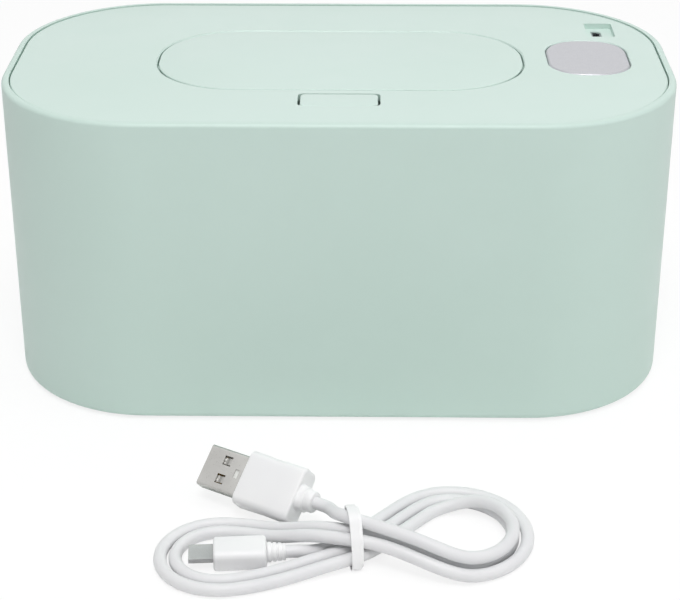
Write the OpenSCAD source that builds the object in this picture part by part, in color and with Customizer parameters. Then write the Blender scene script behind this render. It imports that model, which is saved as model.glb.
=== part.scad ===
// Portable wipe warmer: a tub with a lift-off heated cover, a flip lid with a push-button
// latch, a display key, and a loose USB lead. Millimetres, +X right, +Y back, +Z up.
// The origin is on the surface it stands on, under the middle of the body.

/* [Body] */
// Width of the body, left to right
body_w = 200; // [194:1:230]
// Depth of the body, front to back
body_d = 112.6; // [108:0.2:130]
// Height of the rim over the surface the body stands on
body_h = 94.5; // [88:0.5:130]
// Radius of the body's upright corners
corner_r = 43; // [40:0.5:48]
// Thickness of the outer shell's wall
shell_t = 2.2; // [1.8:0.1:2.6]
// Thickness of the outer shell's floor
floor_t = 2; // [1.8:0.1:3]
// Rounding of the rim's outer edge
rim_round = 1.2; // [0.6:0.1:1.4]
// Rounding of the floor's outer edge
base_round = 2; // [1:0.1:3]

/* [Feet] */
// Diameter of each rubber foot
foot_d = 12; // [8:0.5:16]
// Height of each foot
foot_h = 0.6; // [0.4:0.1:2]
// Distance between the feet, left to right
foot_dx = 124; // [100:1:140]
// Distance between the feet, front to back
foot_dy = 62; // [50:1:72]

/* [Tub] */
// Thickness of the foam sleeve round the tub
sleeve_t = 2.5; // [2:0.1:4]
// Thickness of the inner tub's wall and floor
tub_t = 1.2; // [1:0.1:1.8]
// Thickness of the foam under the tub
floor_foam_t = 4; // [3:0.5:8]
// Thickness of the tub's seat flange
flange_t = 1.5; // [1.2:0.1:2]

/* [Cover] */
// How far the cover's face lies below the rim
panel_sink = 0.2; // [0:0.1:1]
// Thickness of the cover's top panel
panel_t = 2; // [1.8:0.1:2.4]
// Width of the seam round the top panel
seam_gap = 0.3; // [0.2:0.05:0.5]
// Thickness of the seal under the cover's edge
gasket_t = 1.2; // [0.8:0.1:1.6]
// Thickness of the cover base's floor
base_t = 1.5; // [1.2:0.1:2]
// Thickness of the cover base's wall
base_wall = 1.4; // [1.2:0.1:1.8]
// Thickness of the foam over the heater
foam_t = 2; // [1:0.1:3]
// Thickness of the heater film
film_t = 0.3; // [0.2:0.05:0.5]
// Thickness of the aluminium heater plate
plate_t = 1; // [0.8:0.1:2]

/* [Lid] */
// Width of the panel in front of and behind the flip lid
lid_margin = 29.7; // [28:0.1:31]
// Length of the straight part of the flip lid's ends
lid_flat = 4.6; // [3:0.1:12]
// Place of the lid's centre, left to right
lid_x = 0.5; // [-1:0.1:1]
// Place of the lid's centre, front to back
lid_y = -0.2; // [-1:0.1:0.5]
// Gap between the lid and the panel
lid_gap = 0.5; // [0.4:0.05:0.7]
// Thickness of the lid at its edge
lid_t = 1.6; // [1.4:0.1:1.8]
// Depth of the well under the lid, from the panel's face
well_depth = 11.3; // [11:0.1:14]
// Thickness of the well's wall and floor
well_t = 1.5; // [1.3:0.1:1.8]

/* [Lid hinge] */
// Diameter of the hinge pin
pin_d = 2; // [1.6:0.1:2.2]
// Depth of the hinge axis below the panel's face
hinge_h = 4; // [3.8:0.1:4.1]
// Distance of the hinge axis behind the lid opening
hinge_b = 4.2; // [4.2:0.1:5]
// Width of each hinge arm
arm_w = 5; // [4:0.5:7]
// Distance of each hinge arm from the lid's middle
arm_x = 20; // [16:0.5:22]

/* [Dispensing mouth] */
// Width of the mouth that the wipes come through
mouth_w = 60; // [50:1:66]
// Depth of the mouth, front to back
mouth_d = 14; // [10:0.5:16]
// Thickness of the silicone gate's collar
gate_t = 2.8; // [2:0.1:3.2]

/* [Latch button] */
// Width of the push button
button_w = 22.4; // [18:0.1:24]
// Depth of the push button, front to back
button_d = 9.4; // [8.6:0.1:10]
// Strip of panel between the lid and the button
button_strip = 3.1; // [3:0.1:4]
// Gap at each end of the button
button_side_gap = 0.7; // [0.4:0.05:0.9]
// Gap at the button's front and back
button_gap = 0.3; // [0.25:0.05:0.4]
// Travel of the button
button_travel = 1.5; // [1:0.1:1.5]

/* [Display key] */
// Width of the display key
key_w = 24.5; // [20:0.1:26]
// Depth of the display key, front to back
key_d = 31.6; // [26:0.1:33]
// Radius of the display key's corners
key_r = 10.8; // [6:0.1:12]
// Distance of the key's centre from the body's right side
key_in = 24.3; // [23.5:0.1:25]
// Strip of panel between the key and the lid
key_strip = 7.2; // [6:0.1:10]
// Strip of panel between the key and the recess behind it
recess_strip = 3.85; // [3:0.05:6]
// Gap round the key
key_gap = 0.25; // [0.2:0.05:0.4]
// Travel of the key
key_travel = 0.4; // [0.2:0.05:0.5]

/* [USB port] */
// Width of the recess round the port
recess_w = 8.7; // [8:0.1:10]
// Length of the recess, front to back
recess_l = 13.2; // [12:0.1:14]
// Depth of the recess
recess_depth = 1.7; // [1.2:0.1:1.9]
// Distance of the recess's middle in from the rounded corner
recess_in = 13.36; // [12.9:0.01:16]
// Place of the recess round the corner, as an angle from the body's right side
recess_turn = 31.76; // [28:0.01:34]

/* [USB lead] */
// Diameter of the lead
cord_d = 3.5; // [3.5:0.1:3.6]
// Distance between the middles of neighbouring strands
strand_pitch = 4.2; // [4.2:0.05:4.3]
// Width of the cable tie
tie_w = 4.2; // [3:0.1:4.4]
// Thickness of the cable tie
tie_t = 1.1; // [0.8:0.1:1.1]
// Width of the USB-A plug's shell
plug_w = 12; // [11.9:0.05:12.1]
// Thickness of the USB-A plug's shell
plug_t = 4.5; // [4.4:0.05:4.6]
// Length of the USB-A shell that shows
plug_l = 13; // [11:0.5:14]
// Length of the USB-A overmold
grip_l = 18; // [16:0.5:20]
// Width of the USB-A overmold
grip_w = 15.6; // [14.5:0.1:15.8]
// Thickness of the USB-A overmold
grip_t = 8; // [7.5:0.1:8.2]
// Width of the micro plug's shell
micro_w = 6.85; // [6.8:0.05:6.9]
// Thickness of the micro plug's shell
micro_t = 1.8; // [1.75:0.05:1.85]
// Length of the micro plug's overmold
micro_grip_l = 14; // [12:0.5:14.5]
// Width of the micro plug's overmold
micro_grip_w = 9.6; // [9:0.1:9.8]

/* [Hidden] */
$fn = 96;
thin = 0.01;
touch = 0.02;
lap = 0.5;
still = 0.3;

// Heights
face_z = body_h - panel_sink;
panel_z = face_z - panel_t;
well_z = face_z - well_depth;
base_z = well_z - well_t;
foam_z = base_z - base_t;
film_z = foam_z - foam_t;
plate_z = film_z - film_t;
seat_gap = 0.2;
seat_z = panel_z - gasket_t - seat_gap;
ledge_z = seat_z - flange_t;
ledge_w = 2.5;
ledge_t = 1.5;
shell_floor_z = foot_h + floor_t;
foam_gap = 0.2;
tub_z = shell_floor_z + floor_foam_t + foam_gap;

// Distances in from the body's outline
panel_in = shell_t + seam_gap;
sleeve_gap = 0.25;
tub_out_in = shell_t + sleeve_t + 2 * sleeve_gap;
tub_in = tub_out_in + tub_t;
base_gap = 0.8;
base_in = tub_in + base_gap;
base_inner_in = base_in + base_wall;
plate_in = base_in + 0.3;

// Corner centre of the body's outline
cc_x = body_w / 2 - corner_r;
cc_y = body_d / 2 - corner_r;

// Screws
screw_r = 1.25;
screw_head_r = 2.4;
screw_head_h = 1.1;
screw_gap = 0.05;
boss_r = 2.8;
tub_screw_x = foot_dx / 2 - 20;
tub_screw_y = foot_dy / 2 - 1;

// Display key, and the lid beside it
recess_x = cc_x + (corner_r - recess_in) * cos(recess_turn);
recess_y = cc_y + (corner_r - recess_in) * sin(recess_turn);
key_x = body_w / 2 - key_in;
key_y = recess_y - recess_l / 2 - recess_strip - key_gap - key_d / 2;
lid_w = 2 * (key_x - key_w / 2 - key_gap - key_strip - lid_gap - lid_x);
lid_d = body_d - 2 * lid_margin;
lid_r = (lid_d - lid_flat) / 2;

// Collar of the gate in the well
collar_w = 3;

// Lid opening, well and hinge
opening_w = lid_w + 2 * lid_gap;
opening_d = lid_d + 2 * lid_gap;
opening_r = lid_r + lid_gap;
well_in = 3;
well_w = lid_w - 2 * well_in;
well_d = lid_d - 2 * well_in;
well_r = lid_r - well_in;
well_flange = 3;
well_flange_t = 1.5;
hinge_y = lid_y + opening_d / 2 + hinge_b;
hinge_z = face_z - hinge_h;
pin_r = pin_d / 2;
run_gap = 0.05;
knuckle_r = pin_r + 1;
arm_low = hinge_b + 2.6;
arm_bar = 1.9;
arm_front = lid_gap + hinge_b + 3.6;
arm_leg = 1.9;
pocket_gap = 0.8;
pocket_back = knuckle_r + 0.4;
bevel = 1;

// Pad inside the lid, which the lid's seal sits on
liner_in = well_in + 1.5;
liner_z = well_z + 3.8;
liner_t = 1.2;

// Latch button and bar
button_x = lid_x;
button_y = lid_y - opening_d / 2 - button_strip - button_gap - button_d / 2;
cap_t = 1.8;
skirt_t = 1.2;
skirt_z = face_z - 5.3;
bar_z = face_z - 8.1;
bar_t = 2;
bar_w = 9;
bar_top = bar_z + bar_t;
rail_gap = 0.3;
bar_front = button_y - 6;
spring_seat = 1.8;
spring_len = bar_front + body_d / 2 - base_inner_in - spring_seat;
lip_t = 1.4;
lip_z = face_z - 7.7;
tongue_t = 1.6;
tongue_y = lid_y - lid_d / 2 + 1.55;
lip_y = tongue_y - 1;
nose_z = lip_z + lip_t + still;
nose_top = nose_z + 1.7;
nose_y = lip_y - still;
ramp_y = button_y + 0.55;
ramp_h = 2.4;
wedge_z = bar_top + button_travel + still;
spring_x = 8.2;
post_r = 0.7;
coil_r = 1.3;
coil_wire = 0.45;
kick_x = 14;
kick_r = 1.8;
kick_wire = 0.5;
kick_l = 3.5;
post_z = bar_z - 2;

// Display and boards
window_t = 1.2;
carrier_t = 1.2;
board_z = base_z + 2.5;
board_t = 1.6;
board_x0 = key_x - 14.7;
board_x1 = key_x + 14;
board_y0 = key_y - 18.4;
board_y1 = key_y + 16.4;
board_screw_at = [
    [board_x0 + 2.6, board_y0 + 2.6], [board_x1 - 2.6, board_y0 + 2.6],
    [board_x0 + 2.6, board_y1 - 2.6], [board_x1 - 4, board_y1 - 2.6]
];
cover_boss_at = [
    [-cc_x - 20, 20], [-cc_x - 20, -20], [-30, -body_d / 2 + 16.3], [board_x0 - 27, -body_d / 2 + 16.3],
    [cc_x + 17, key_y - key_d / 2 - 14.6], [cc_x - 1, body_d / 2 - 17.3], [-34, body_d / 2 - 15.8]
];
switch_at = [[key_x - 7, key_y - 9.5], [key_x + 7, key_y - 9.5]];
display_hole_w = 17;
display_hole_d = 10;
switch_h = 3.6;
stem_h = 0.6;
plunger_z = board_z + board_t + switch_h + stem_h + key_travel + still;

// Heater sensors and the wires to them
sensor_x = -cc_x - 7;
sensor_y = 0;
sensor_hole_r = 4;
cutoff_hole_r = 5.5;
cutoff_l = 8;
cutoff_w = 4;
cutoff_t = 1.7;
cover_screw_l = 10;
cutoff_x = sensor_x;
cutoff_y = 12;
wire_d = 1.1;
wire_y = -body_d / 2 + base_inner_in + 3.2;
wire_z = base_z + 0.8;

// USB port
recess_floor = 1;
recess_z = face_z - recess_depth;
recess_wall = 1.2;
port_x = recess_x - 0.8;
port_y = recess_y - 0.4;
port_w = 2.9;
port_l = 7.6;
port_h = 5.2;
port_gap = 0.15;
port_z = recess_z - 0.3 - port_h;
port_board_t = 1.2;
port_board_z = port_z - port_board_t;

// USB lead: its own frame has its origin under the tie and X along the hank
tie_at = [5.3, -128];
hank_turn = 10.3;
tie_gap = 0.25;
lie_z = cord_d / 2;
row_z = [3.1, 7.25, 11.4];
right_c = 28.5;
right_a = 20.6;
right_b = 21.3;
left_c = -34.5;
left_a = 16.6;
left_b = 16;
loops_y = 4.5;
plug_at = [-7.4, 15.7, 8.2];
plug_turn = -41.5;
plug_roll = 42;
boot_l = 4.5;
grip_x = -boot_l - grip_l;
shell_in = 7;
sheet_t = 0.3;
hole_x = 5.2;
hole_y = 2.7;
hole_l = 2.6;
hole_w = 2.7;
notch_x = 9.9;
notch_l = 1.3;
notch_w = 2.4;
micro_at = [-17.5, 1.8, 3];
micro_turn = -6;
micro_boot_l = 5;
micro_grip_x = -micro_boot_l - micro_grip_l;
micro_grip_t = 6;
micro_l = 6.5;
micro_in = 4;

// Middle lines of the strands that run under and over each other at the tie
under_right = loops_y + right_b - strand_pitch;
under_left = loops_y - left_b + strand_pitch;
over_left = loops_y + left_b - strand_pitch / 2;
over_right = loops_y - right_b + strand_pitch / 2;
under_line = [
    [right_c, under_right, lie_z], [22, 0.89 * under_right, lie_z], [14.5, 0.58 * under_right, 1.9],
    [8, 0.28 * under_right, 3], [2.5, 1.2, row_z[0]], [-2.5, -0.7, row_z[0]],
    [-10, 0.27 * under_left, 2.4], [-18, 0.56 * under_left, lie_z], [-26, 0.85 * under_left, lie_z],
    [left_c, under_left, lie_z]
];
over_line = [
    [left_c, over_left, lie_z], [-26, 0.85 * over_left, 1.9], [-18, 0.53 * over_left, 3.3],
    [-10, 0.25 * over_left, 7.1], [-2.5, 1, row_z[1]], [2.5, -0.8, row_z[1]], [8, 0.24 * over_right, 7],
    [14, 0.52 * over_right, 6.2], [21.5, 0.86 * over_right, 4.2], [right_c, over_right, lie_z]
];
// The lead from the USB-A plug, over the tie, and the lead to the micro plug
lead_in = [
    [-7.4, 15.7, 8.2], [-6.1, 14.55, 8.2], [-4.8, 13.4, 8.2], [-4, 12, 8.4], [-3.6, 10, 8.9],
    [-3.5, 7.8, 9.8], [-3, 5.7, 10.7], [-1.8, 3.7, 11.2], [0.5, 1.6, 11.4], [3.7, -0.9, 11.4],
    [9, -4.6, 11.1], [15, -8.4, 10.3], [21.5, -12.2, 8.4], [right_c, over_right, 6]
];
lead_out = [
    [-2.6, 3.7, 3.1], [-6.5, 2.5, 2.2], [-10.5, 2, 2], [-13.5, 1.38, 3], [-15.5, 1.59, 3],
    [-17.5, 1.8, 3]
];

// A rectangle with round corners
module rounded(w, d, r) {
    square([w - 2 * r, d], center = true);
    square([w, d - 2 * r], center = true);
    for (sx = [-1, 1], sy = [-1, 1])
        translate([sx * (w / 2 - r), sy * (d / 2 - r)]) circle(r);
}

// A flat slab of that rectangle between two heights
module slab(w, d, r, z0, z1) {
    translate([0, 0, z0]) linear_extrude(z1 - z0) rounded(w, d, r);
}

// A slab that follows the body's outline at a distance in from it
module body_slab(inset, z0, z1) {
    slab(body_w - 2 * inset, body_d - 2 * inset, corner_r - inset, z0, z1);
}

// A section swept round the rectangle: x is the distance out from its edge, y the height
module edge_ring(w, d, r, section) {
    for (sx = [0, 1], sy = [0, 1])
        mirror([sx, 0, 0]) mirror([0, sy, 0]) {
            translate([w / 2 - r, d / 2 - r, 0])
                rotate_extrude(angle = 90) polygon([for (p = section) [p[0] + r, p[1]]]);
            translate([w / 2, d / 2 - r, 0])
                rotate([90, 0, 0]) linear_extrude(d / 2 - r) polygon(section);
            translate([w / 2 - r, d / 2, 0]) rotate([90, 0, -90])
                linear_extrude(w / 2 - r) polygon([for (p = section) [-p[0], p[1]]]);
        }
}

module body_ring(section) {
    edge_ring(body_w, body_d, corner_r, section);
}

// Points of a round edge with its centre at c
function arc(c, r, a0, a1, n = 6) =
    [for (i = [0:n]) [c[0] + r * cos(a0 + (a1 - a0) * i / n), c[1] + r * sin(a0 + (a1 - a0) * i / n)]];

// A block between two corners
module block(a, b) {
    translate(a) cube(b - a);
}

// A bar of a section in Y and Z, between two places along X
module profile_x(x0, x1, points) {
    translate([x0, 0, 0]) rotate([90, 0, 90]) linear_extrude(x1 - x0) polygon(points);
}

// Cross product and unit vector, for swept tubes
function unit(v) = v / norm(v);
function side_of(t) = unit(abs(t[2]) < 0.95 ? cross(t, [0, 0, 1]) : cross(t, [0, 1, 0]));

// A round tube along a list of points
module tube(points, d, sides) {
    n = len(points);
    tangent = [for (i = [0:n - 1]) unit(points[min(i + 1, n - 1)] - points[max(i - 1, 0)])];
    ring = [for (i = [0:n - 1]) let (s = side_of(tangent[i]), u = cross(s, tangent[i]))
        for (k = [0:sides - 1], a = 360 * k / sides) points[i] + d / 2 * (cos(a) * s + sin(a) * u)];
    walls = [for (i = [0:n - 2], k = [0:sides - 1]) let (a = i * sides + k, b = i * sides + (k + 1) % sides)
        each [[a, b, b + sides], [a, b + sides, a + sides]]];
    last = (n - 1) * sides;
    caps = [for (k = [1:sides - 2]) each [[0, k + 1, k], [last, last + k, last + k + 1]]];
    polyhedron(ring, concat(walls, caps), convexity = 6);
}

// A coil spring that stands on z = 0
module coil(r, wire, height, turns) {
    steps = 10;
    rise = height - wire;
    tube([for (i = [0:turns * steps]) [r * cos(360 * i / steps), r * sin(360 * i / steps),
        wire / 2 + rise * i / (turns * steps)]], wire, 6);
}

// A line of points moved sideways by d in plan
function beside(line, d) = [for (i = [0:len(line) - 1])
    let (a = line[max(i - 1, 0)], b = line[min(i + 1, len(line) - 1)],
        end = i == 0 || i == len(line) - 1,
        t = end ? [1, 0] : unit([b[0] - a[0], b[1] - a[1]]) * sign(b[0] - a[0]))
    [line[i][0] - t[1] * d, line[i][1] + t[0] * d, line[i][2]]];

// Half a loop: an ellipse from angle a0 to a1, without its ends
function half_loop(c, a, b, a0, a1) = [for (i = [1:5]) let (t = a0 + (a1 - a0) * i / 6)
    [c + a * cos(t), loops_y + b * sin(t), lie_z]];

// The first loop lies on top of the others and draws in as it goes round
function top_loop() = let (z = [0, 5.6, 5.9, 6, 6, 4.2]) [for (i = [1:5])
    let (f = i / 6, k = strand_pitch * (0.5 + 1.5 * f * f * (3 - 2 * f)), t = -90 + 30 * i)
    [right_c + (right_a - k) * cos(t), loops_y + (right_b - k) * sin(t), z[i]]];

function head(list, n) = [for (i = [0:n - 1]) list[i]];

// The hank's route: three loops on the right and two on the left, crossed at the tie
function hank_line() = concat(
    lead_in, top_loop(),
    beside(under_line, -strand_pitch), half_loop(left_c, left_a, left_b, 270, 90),
    beside(over_line, strand_pitch / 2),
    half_loop(right_c, right_a - strand_pitch, right_b - strand_pitch, -90, 90),
    under_line, half_loop(left_c, left_a - strand_pitch, left_b - strand_pitch, 270, 90),
    beside(over_line, -strand_pitch / 2), half_loop(right_c, right_a, right_b, -90, 90),
    head(beside(under_line, strand_pitch), 5), lead_out);

// A smooth line near a list of points, from its first point to its last
function smooth(p, n) = let (m = len(p), q = concat([2 * p[0] - p[1]], p, [2 * p[m - 1] - p[m - 2]]))
    concat([for (i = [1:m - 1], j = [0:n - 1]) let (t = j / n)
        (pow(1 - t, 3) * q[i - 1] + (3 * pow(t, 3) - 6 * t * t + 4) * q[i]
        + (-3 * pow(t, 3) + 3 * t * t + 3 * t + 1) * q[i + 1] + pow(t, 3) * q[i + 2]) / 6], [p[m - 1]]);

// Least gap between stretches of a line that are more than skip points apart
function least_gap(p, d, skip) = min([for (i = [0:len(p) - skip - 1], j = [i + skip:len(p) - 1])
    norm(p[i] - p[j])]) - d;

module outer_shell() {
    color("#BFD6CC") difference() {
        union() {
            body_ring(concat(
                [[-12, foot_h]],
                arc([-base_round, foot_h + base_round], base_round, -90, 0),
                arc([-rim_round, body_h - rim_round], rim_round, 0, 90),
                [[-shell_t, body_h], [-shell_t, ledge_z], [-shell_t - ledge_w, ledge_z],
                 [-shell_t - ledge_w, ledge_z - ledge_t], [-shell_t, ledge_z - ledge_t - ledge_w],
                 [-shell_t, shell_floor_z], [-12, shell_floor_z]]));
            body_slab(12 - lap, foot_h, shell_floor_z);
        }
        at_tub_screws() {
            translate([0, 0, -1]) cylinder(r = screw_head_r + 0.2, h = foot_h + screw_head_h + 1.1);
            cylinder(r = screw_r + 0.3, h = shell_floor_z + 1);
        }
    }
}

module at_tub_screws() {
    for (sx = [-1, 1], sy = [-1, 1]) translate([sx * tub_screw_x, sy * tub_screw_y, 0]) children();
}

module rubber_feet() {
    color("#9AA5A0") for (sx = [-1, 1], sy = [-1, 1])
        translate([sx * foot_dx / 2, sy * foot_dy / 2, 0]) cylinder(d = foot_d, h = foot_h);
}

module insulation_sleeve() {
    x = -shell_t - sleeve_gap;
    top = ledge_z - ledge_t - ledge_w - still;
    color("#E8E4DA") body_ring([[x, shell_floor_z], [x, top], [x - sleeve_t, top],
        [x - sleeve_t, shell_floor_z]]);
}

module floor_insulation() {
    color("#E8E4DA") difference() {
        body_slab(tub_out_in + 2, shell_floor_z, shell_floor_z + floor_foam_t);
        at_tub_screws() cylinder(r = boss_r + still, h = tub_z + 1);
    }
}

module inner_tub() {
    low = 3;
    out = -tub_out_in;
    in = -tub_in;
    color("#F2F2EE") difference() {
        union() {
            body_ring(concat(
                [[-26, tub_z]],
                arc([out - low, tub_z + low], low, -90, 0),
                [[out, ledge_z], [-shell_t - still, ledge_z], [-shell_t - still, seat_z], [in, seat_z]],
                arc([in - low, tub_z + tub_t + low], low, 0, -90),
                [[-26, tub_z + tub_t]]));
            body_slab(26 - lap, tub_z, tub_z + tub_t);
            at_tub_screws() translate([0, 0, shell_floor_z])
                cylinder(r = boss_r, h = tub_z + tub_t / 2 - shell_floor_z);
        }
        at_tub_screws() cylinder(r = screw_r + screw_gap, h = tub_z + 0.4);
    }
}

module tub_screws() {
    color("#B8BCC0") at_tub_screws() {
        translate([0, 0, foot_h]) cylinder(r = screw_head_r, h = screw_head_h);
        translate([0, 0, foot_h]) cylinder(r = screw_r, h = tub_z - foot_h);
    }
}

module lid_outline(grow, z0, z1) {
    translate([lid_x, lid_y, 0]) slab(lid_w + 2 * grow, lid_d + 2 * grow, lid_r + grow, z0, z1);
}

module at_cover_screws() {
    for (p = cover_boss_at) translate([p[0], p[1], 0]) children();
}

// Cuts that round the edge of an opening in the panel
module opening_edge(w, d, r, chamfer) {
    edge_ring(w, d, r, [[-1, face_z + 1], [-1, face_z - chamfer - thin], [thin, face_z - chamfer - thin],
        [chamfer + thin, face_z + thin], [chamfer + thin, face_z + 1]]);
}

module top_panel() {
    edge = 0.5;
    color("#D7E8E1") difference() {
        union() {
            body_ring(concat(
                [[-panel_in - 6, panel_z], [-panel_in, panel_z]],
                arc([-panel_in - edge, face_z - edge], edge, 0, 90, 4),
                [[-panel_in - 6, face_z]]));
            body_slab(panel_in + 6 - lap, panel_z, face_z);
            translate([recess_x, recess_y, 0])
                slab(recess_w + 2 * recess_wall, recess_l + 2 * recess_wall, 2, recess_z - recess_floor,
                    face_z - 1);
            at_cover_screws() translate([0, 0, base_z]) cylinder(r = boss_r, h = panel_z - base_z + 0.5);
        }
        lid_outline(lid_gap, panel_z - 1, face_z + 1);
        translate([lid_x, lid_y, 0]) opening_edge(opening_w, opening_d, opening_r, 0.35);
        button_outline(button_side_gap, button_gap, 1.6, panel_z - 1, face_z + 1);
        translate([key_x, key_y, 0])
            slab(key_w + 2 * key_gap, key_d + 2 * key_gap, key_r + key_gap, panel_z - 1, face_z + 1);
        translate([key_x, key_y, 0])
            opening_edge(key_w + 2 * key_gap, key_d + 2 * key_gap, key_r + key_gap, 0.25);
        translate([recess_x, recess_y, 0]) slab(recess_w, recess_l, 0.8, recess_z, face_z + 1);
        port_shape(port_gap, recess_z - recess_floor - 1, face_z);
        at_cover_screws() cylinder(r = screw_r + screw_gap, h = panel_z - 1.5);
    }
}

module cover_gasket() {
    x = -panel_in - 0.4;
    color("#C9CFCC") body_ring([[x, panel_z - gasket_t], [x, panel_z], [x - 1.5, panel_z],
        [x - 1.5, panel_z - gasket_t]]);
}

module mouth_slab(grow, z0, z1) {
    r = mouth_d / 2 + grow;
    translate([lid_x, lid_y, 0]) slab(mouth_w + 2 * grow, mouth_d + 2 * grow, r - thin, z0, z1);
}

module cover_base() {
    color("#E4EAE7") difference() {
        union() {
            body_ring([[-base_in - 4, foam_z], [-base_in, foam_z], [-base_in, panel_z],
                [-base_inner_in, panel_z], [-base_inner_in, base_z], [-base_in - 4, base_z]]);
            body_slab(base_in + 4 - lap, foam_z, base_z);
            latch_guides();
            for (p = board_screw_at) translate([p[0], p[1], base_z - touch])
                cylinder(r = 2.2, h = board_z - base_z + touch);
            for (s = [-1, 1]) translate([port_x - 5, port_y + s * 3.4, base_z - touch])
                cylinder(r = 1.6, h = port_board_z - base_z + touch);
        }
        mouth_slab(gate_t + 0.3, foam_z - 1, base_z + 1);
        at_cover_screws() translate([0, 0, foam_z - 1]) cylinder(r = screw_r + 0.3, h = base_t + 2);
        for (p = board_screw_at) translate([p[0], p[1], foam_z + 0.6])
            cylinder(r = 0.8 + screw_gap, h = board_z);
        translate([recess_x, recess_y, 0])
            slab(recess_w + 2 * recess_wall + 0.8, recess_l + 2 * recess_wall + 0.8, 2.4,
                recess_z - recess_floor - still, face_z);
        translate([sensor_x, sensor_y, foam_z - 1]) cylinder(r = 2, h = base_t + 2);
        translate([cutoff_x, cutoff_y + 8, foam_z - 1]) cylinder(r = 2, h = base_t + 2);
    }
}

// Rails, pedestal, spring posts and spring seat for the latch
module latch_guides() {
    half = bar_w / 2 + rail_gap;
    for (s = [-1, 1]) {
        block([button_x + s * half - (s < 0 ? 1.2 : 0), button_y - 3.6, base_z - touch],
              [button_x + s * half + (s < 0 ? 0 : 1.2), button_y + 3.6, bar_top + 1.3]);
        block([button_x + s * half - (s < 0 ? 1.2 : 0.8), button_y - 3.6, bar_top + rail_gap],
              [button_x + s * half + (s < 0 ? 0.8 : 1.2), button_y + 3.6, bar_top + 1.3]);
        translate([button_x + s * spring_x, button_y, base_z - touch])
            cylinder(r = 1.7, h = post_z - base_z + touch);
        translate([button_x + s * spring_x, button_y, post_z - touch]) cylinder(r = post_r, h = 3.6);
    }
    block([button_x - half - 0.6, button_y - 3.4, base_z - touch],
        [button_x + half + 0.6, button_y + 3.4, bar_z - rail_gap]);
    block([button_x - 2.6, -body_d / 2 + base_inner_in - touch, bar_z - 1.5],
          [button_x + 2.6, bar_front - spring_len, bar_top + 1.5]);
}

module heater_insulation() {
    color("#F0D9A8") difference() {
        body_slab(plate_in, film_z, foam_z);
        mouth_slab(gate_t + 0.3, film_z - 1, foam_z + 1);
        at_cover_screws() cylinder(r = screw_r + 0.5, h = face_z);
        translate([sensor_x, sensor_y, film_z - 1]) cylinder(r = sensor_hole_r, h = foam_t + 2);
        translate([cutoff_x, cutoff_y, film_z - 1]) cylinder(r = cutoff_hole_r, h = foam_t + 2);
    }
}

module heater_film() {
    color("#C77A2A") difference() {
        body_slab(plate_in + 2, plate_z, film_z);
        mouth_slab(gate_t + 1.5, plate_z - 1, film_z + 1);
        at_cover_screws() cylinder(r = screw_r + 1.5, h = face_z);
    }
}

module heater_plate() {
    color("#C9CCCE") difference() {
        body_slab(plate_in, plate_z - plate_t, plate_z);
        mouth_slab(gate_t + 0.3, plate_z - plate_t - 1, plate_z + 1);
        at_cover_screws() cylinder(r = screw_r + 0.3, h = face_z);
    }
}

module temperature_sensor() {
    r = 0.85;
    color("#2E2E30") translate([sensor_x - 2, sensor_y, film_z + r + touch]) rotate([0, 90, 0])
        cylinder(r = r, h = 4.5);
}

module thermal_cutoff() {
    color("#8A5A3C") block([cutoff_x - cutoff_l / 2, cutoff_y - cutoff_w / 2, film_z + touch],
        [cutoff_x + cutoff_l / 2, cutoff_y + cutoff_w / 2, film_z + cutoff_t]);
}

module cover_screws() {
    color("#B8BCC0") at_cover_screws() {
        translate([0, 0, plate_z - plate_t - screw_head_h]) cylinder(r = screw_head_r, h = screw_head_h);
        translate([0, 0, plate_z - plate_t - touch]) cylinder(r = screw_r, h = cover_screw_l);
    }
}

module at_arms() {
    for (s = [-1, 1]) translate([lid_x + s * arm_x, 0, 0]) children();
}

// The pan under the lid, with the two hinge pockets behind it
module lid_well() {
    pocket_w = arm_w + 2 * pocket_gap;
    front = lid_y - well_d / 2;
    window_w = 11;
    color("#D2E3DC") difference() {
        union() {
            translate([lid_x, lid_y, 0]) {
                slab(well_w + 2 * well_t, well_d + 2 * well_t, well_r + well_t, base_z, panel_z);
                slab(opening_w + 2 * well_flange, opening_d + 2 * well_flange, opening_r + well_flange,
                    panel_z - well_flange_t, panel_z);
            }
            at_arms() block([-pocket_w / 2 - well_t, lid_y + well_d / 2 - 2,
                hinge_z - arm_low - 0.5 - well_t],
                [pocket_w / 2 + well_t, hinge_y + pocket_back + well_t, panel_z]);
        }
        translate([lid_x, lid_y, 0]) slab(well_w, well_d, well_r, well_z, panel_z + 1);
        mouth_slab(gate_t + 0.3, base_z - 1, well_z + 1);
        at_arms() block([-pocket_w / 2, lid_y + well_d / 2 - 3, hinge_z - arm_low - 0.5],
            [pocket_w / 2, hinge_y + pocket_back, panel_z + 1]);
        at_arms() translate([-pocket_w, hinge_y, hinge_z]) rotate([0, 90, 0])
            cylinder(r = pin_r - thin, h = 2 * pocket_w);
        block([lid_x - window_w / 2, front - 3.4, lip_z - 0.8],
            [lid_x + window_w / 2, front + 1, panel_z + 1]);
    }
}

module lid_hinge_pin() {
    reach = arm_x + arm_w / 2 + pocket_gap + well_t;
    color("#B9BDC1") translate([lid_x - reach, hinge_y, hinge_z]) rotate([0, 90, 0])
        cylinder(r = pin_r, h = 2 * reach);
}

module dispenser_gate() {
    low = plate_z - plate_t;
    color("#C4CBC8") difference() {
        union() {
            mouth_slab(gate_t, low, well_z + 1.2);
            mouth_slab(gate_t + collar_w, well_z, well_z + 1.2);
            mouth_slab(gate_t + 0.6, well_z + 1, well_z + 1.8);
        }
        mouth_slab(0, low - 1, well_z + 3);
    }
}

module lid_kick_springs() {
    y = lid_y - (well_d / 2 + mouth_d / 2 + gate_t + collar_w) / 2;
    color("#B9BDC1") for (s = [-1, 1])
        translate([lid_x + s * kick_x, y, well_z]) coil(kick_r, kick_wire, kick_l, 4);
}

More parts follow.
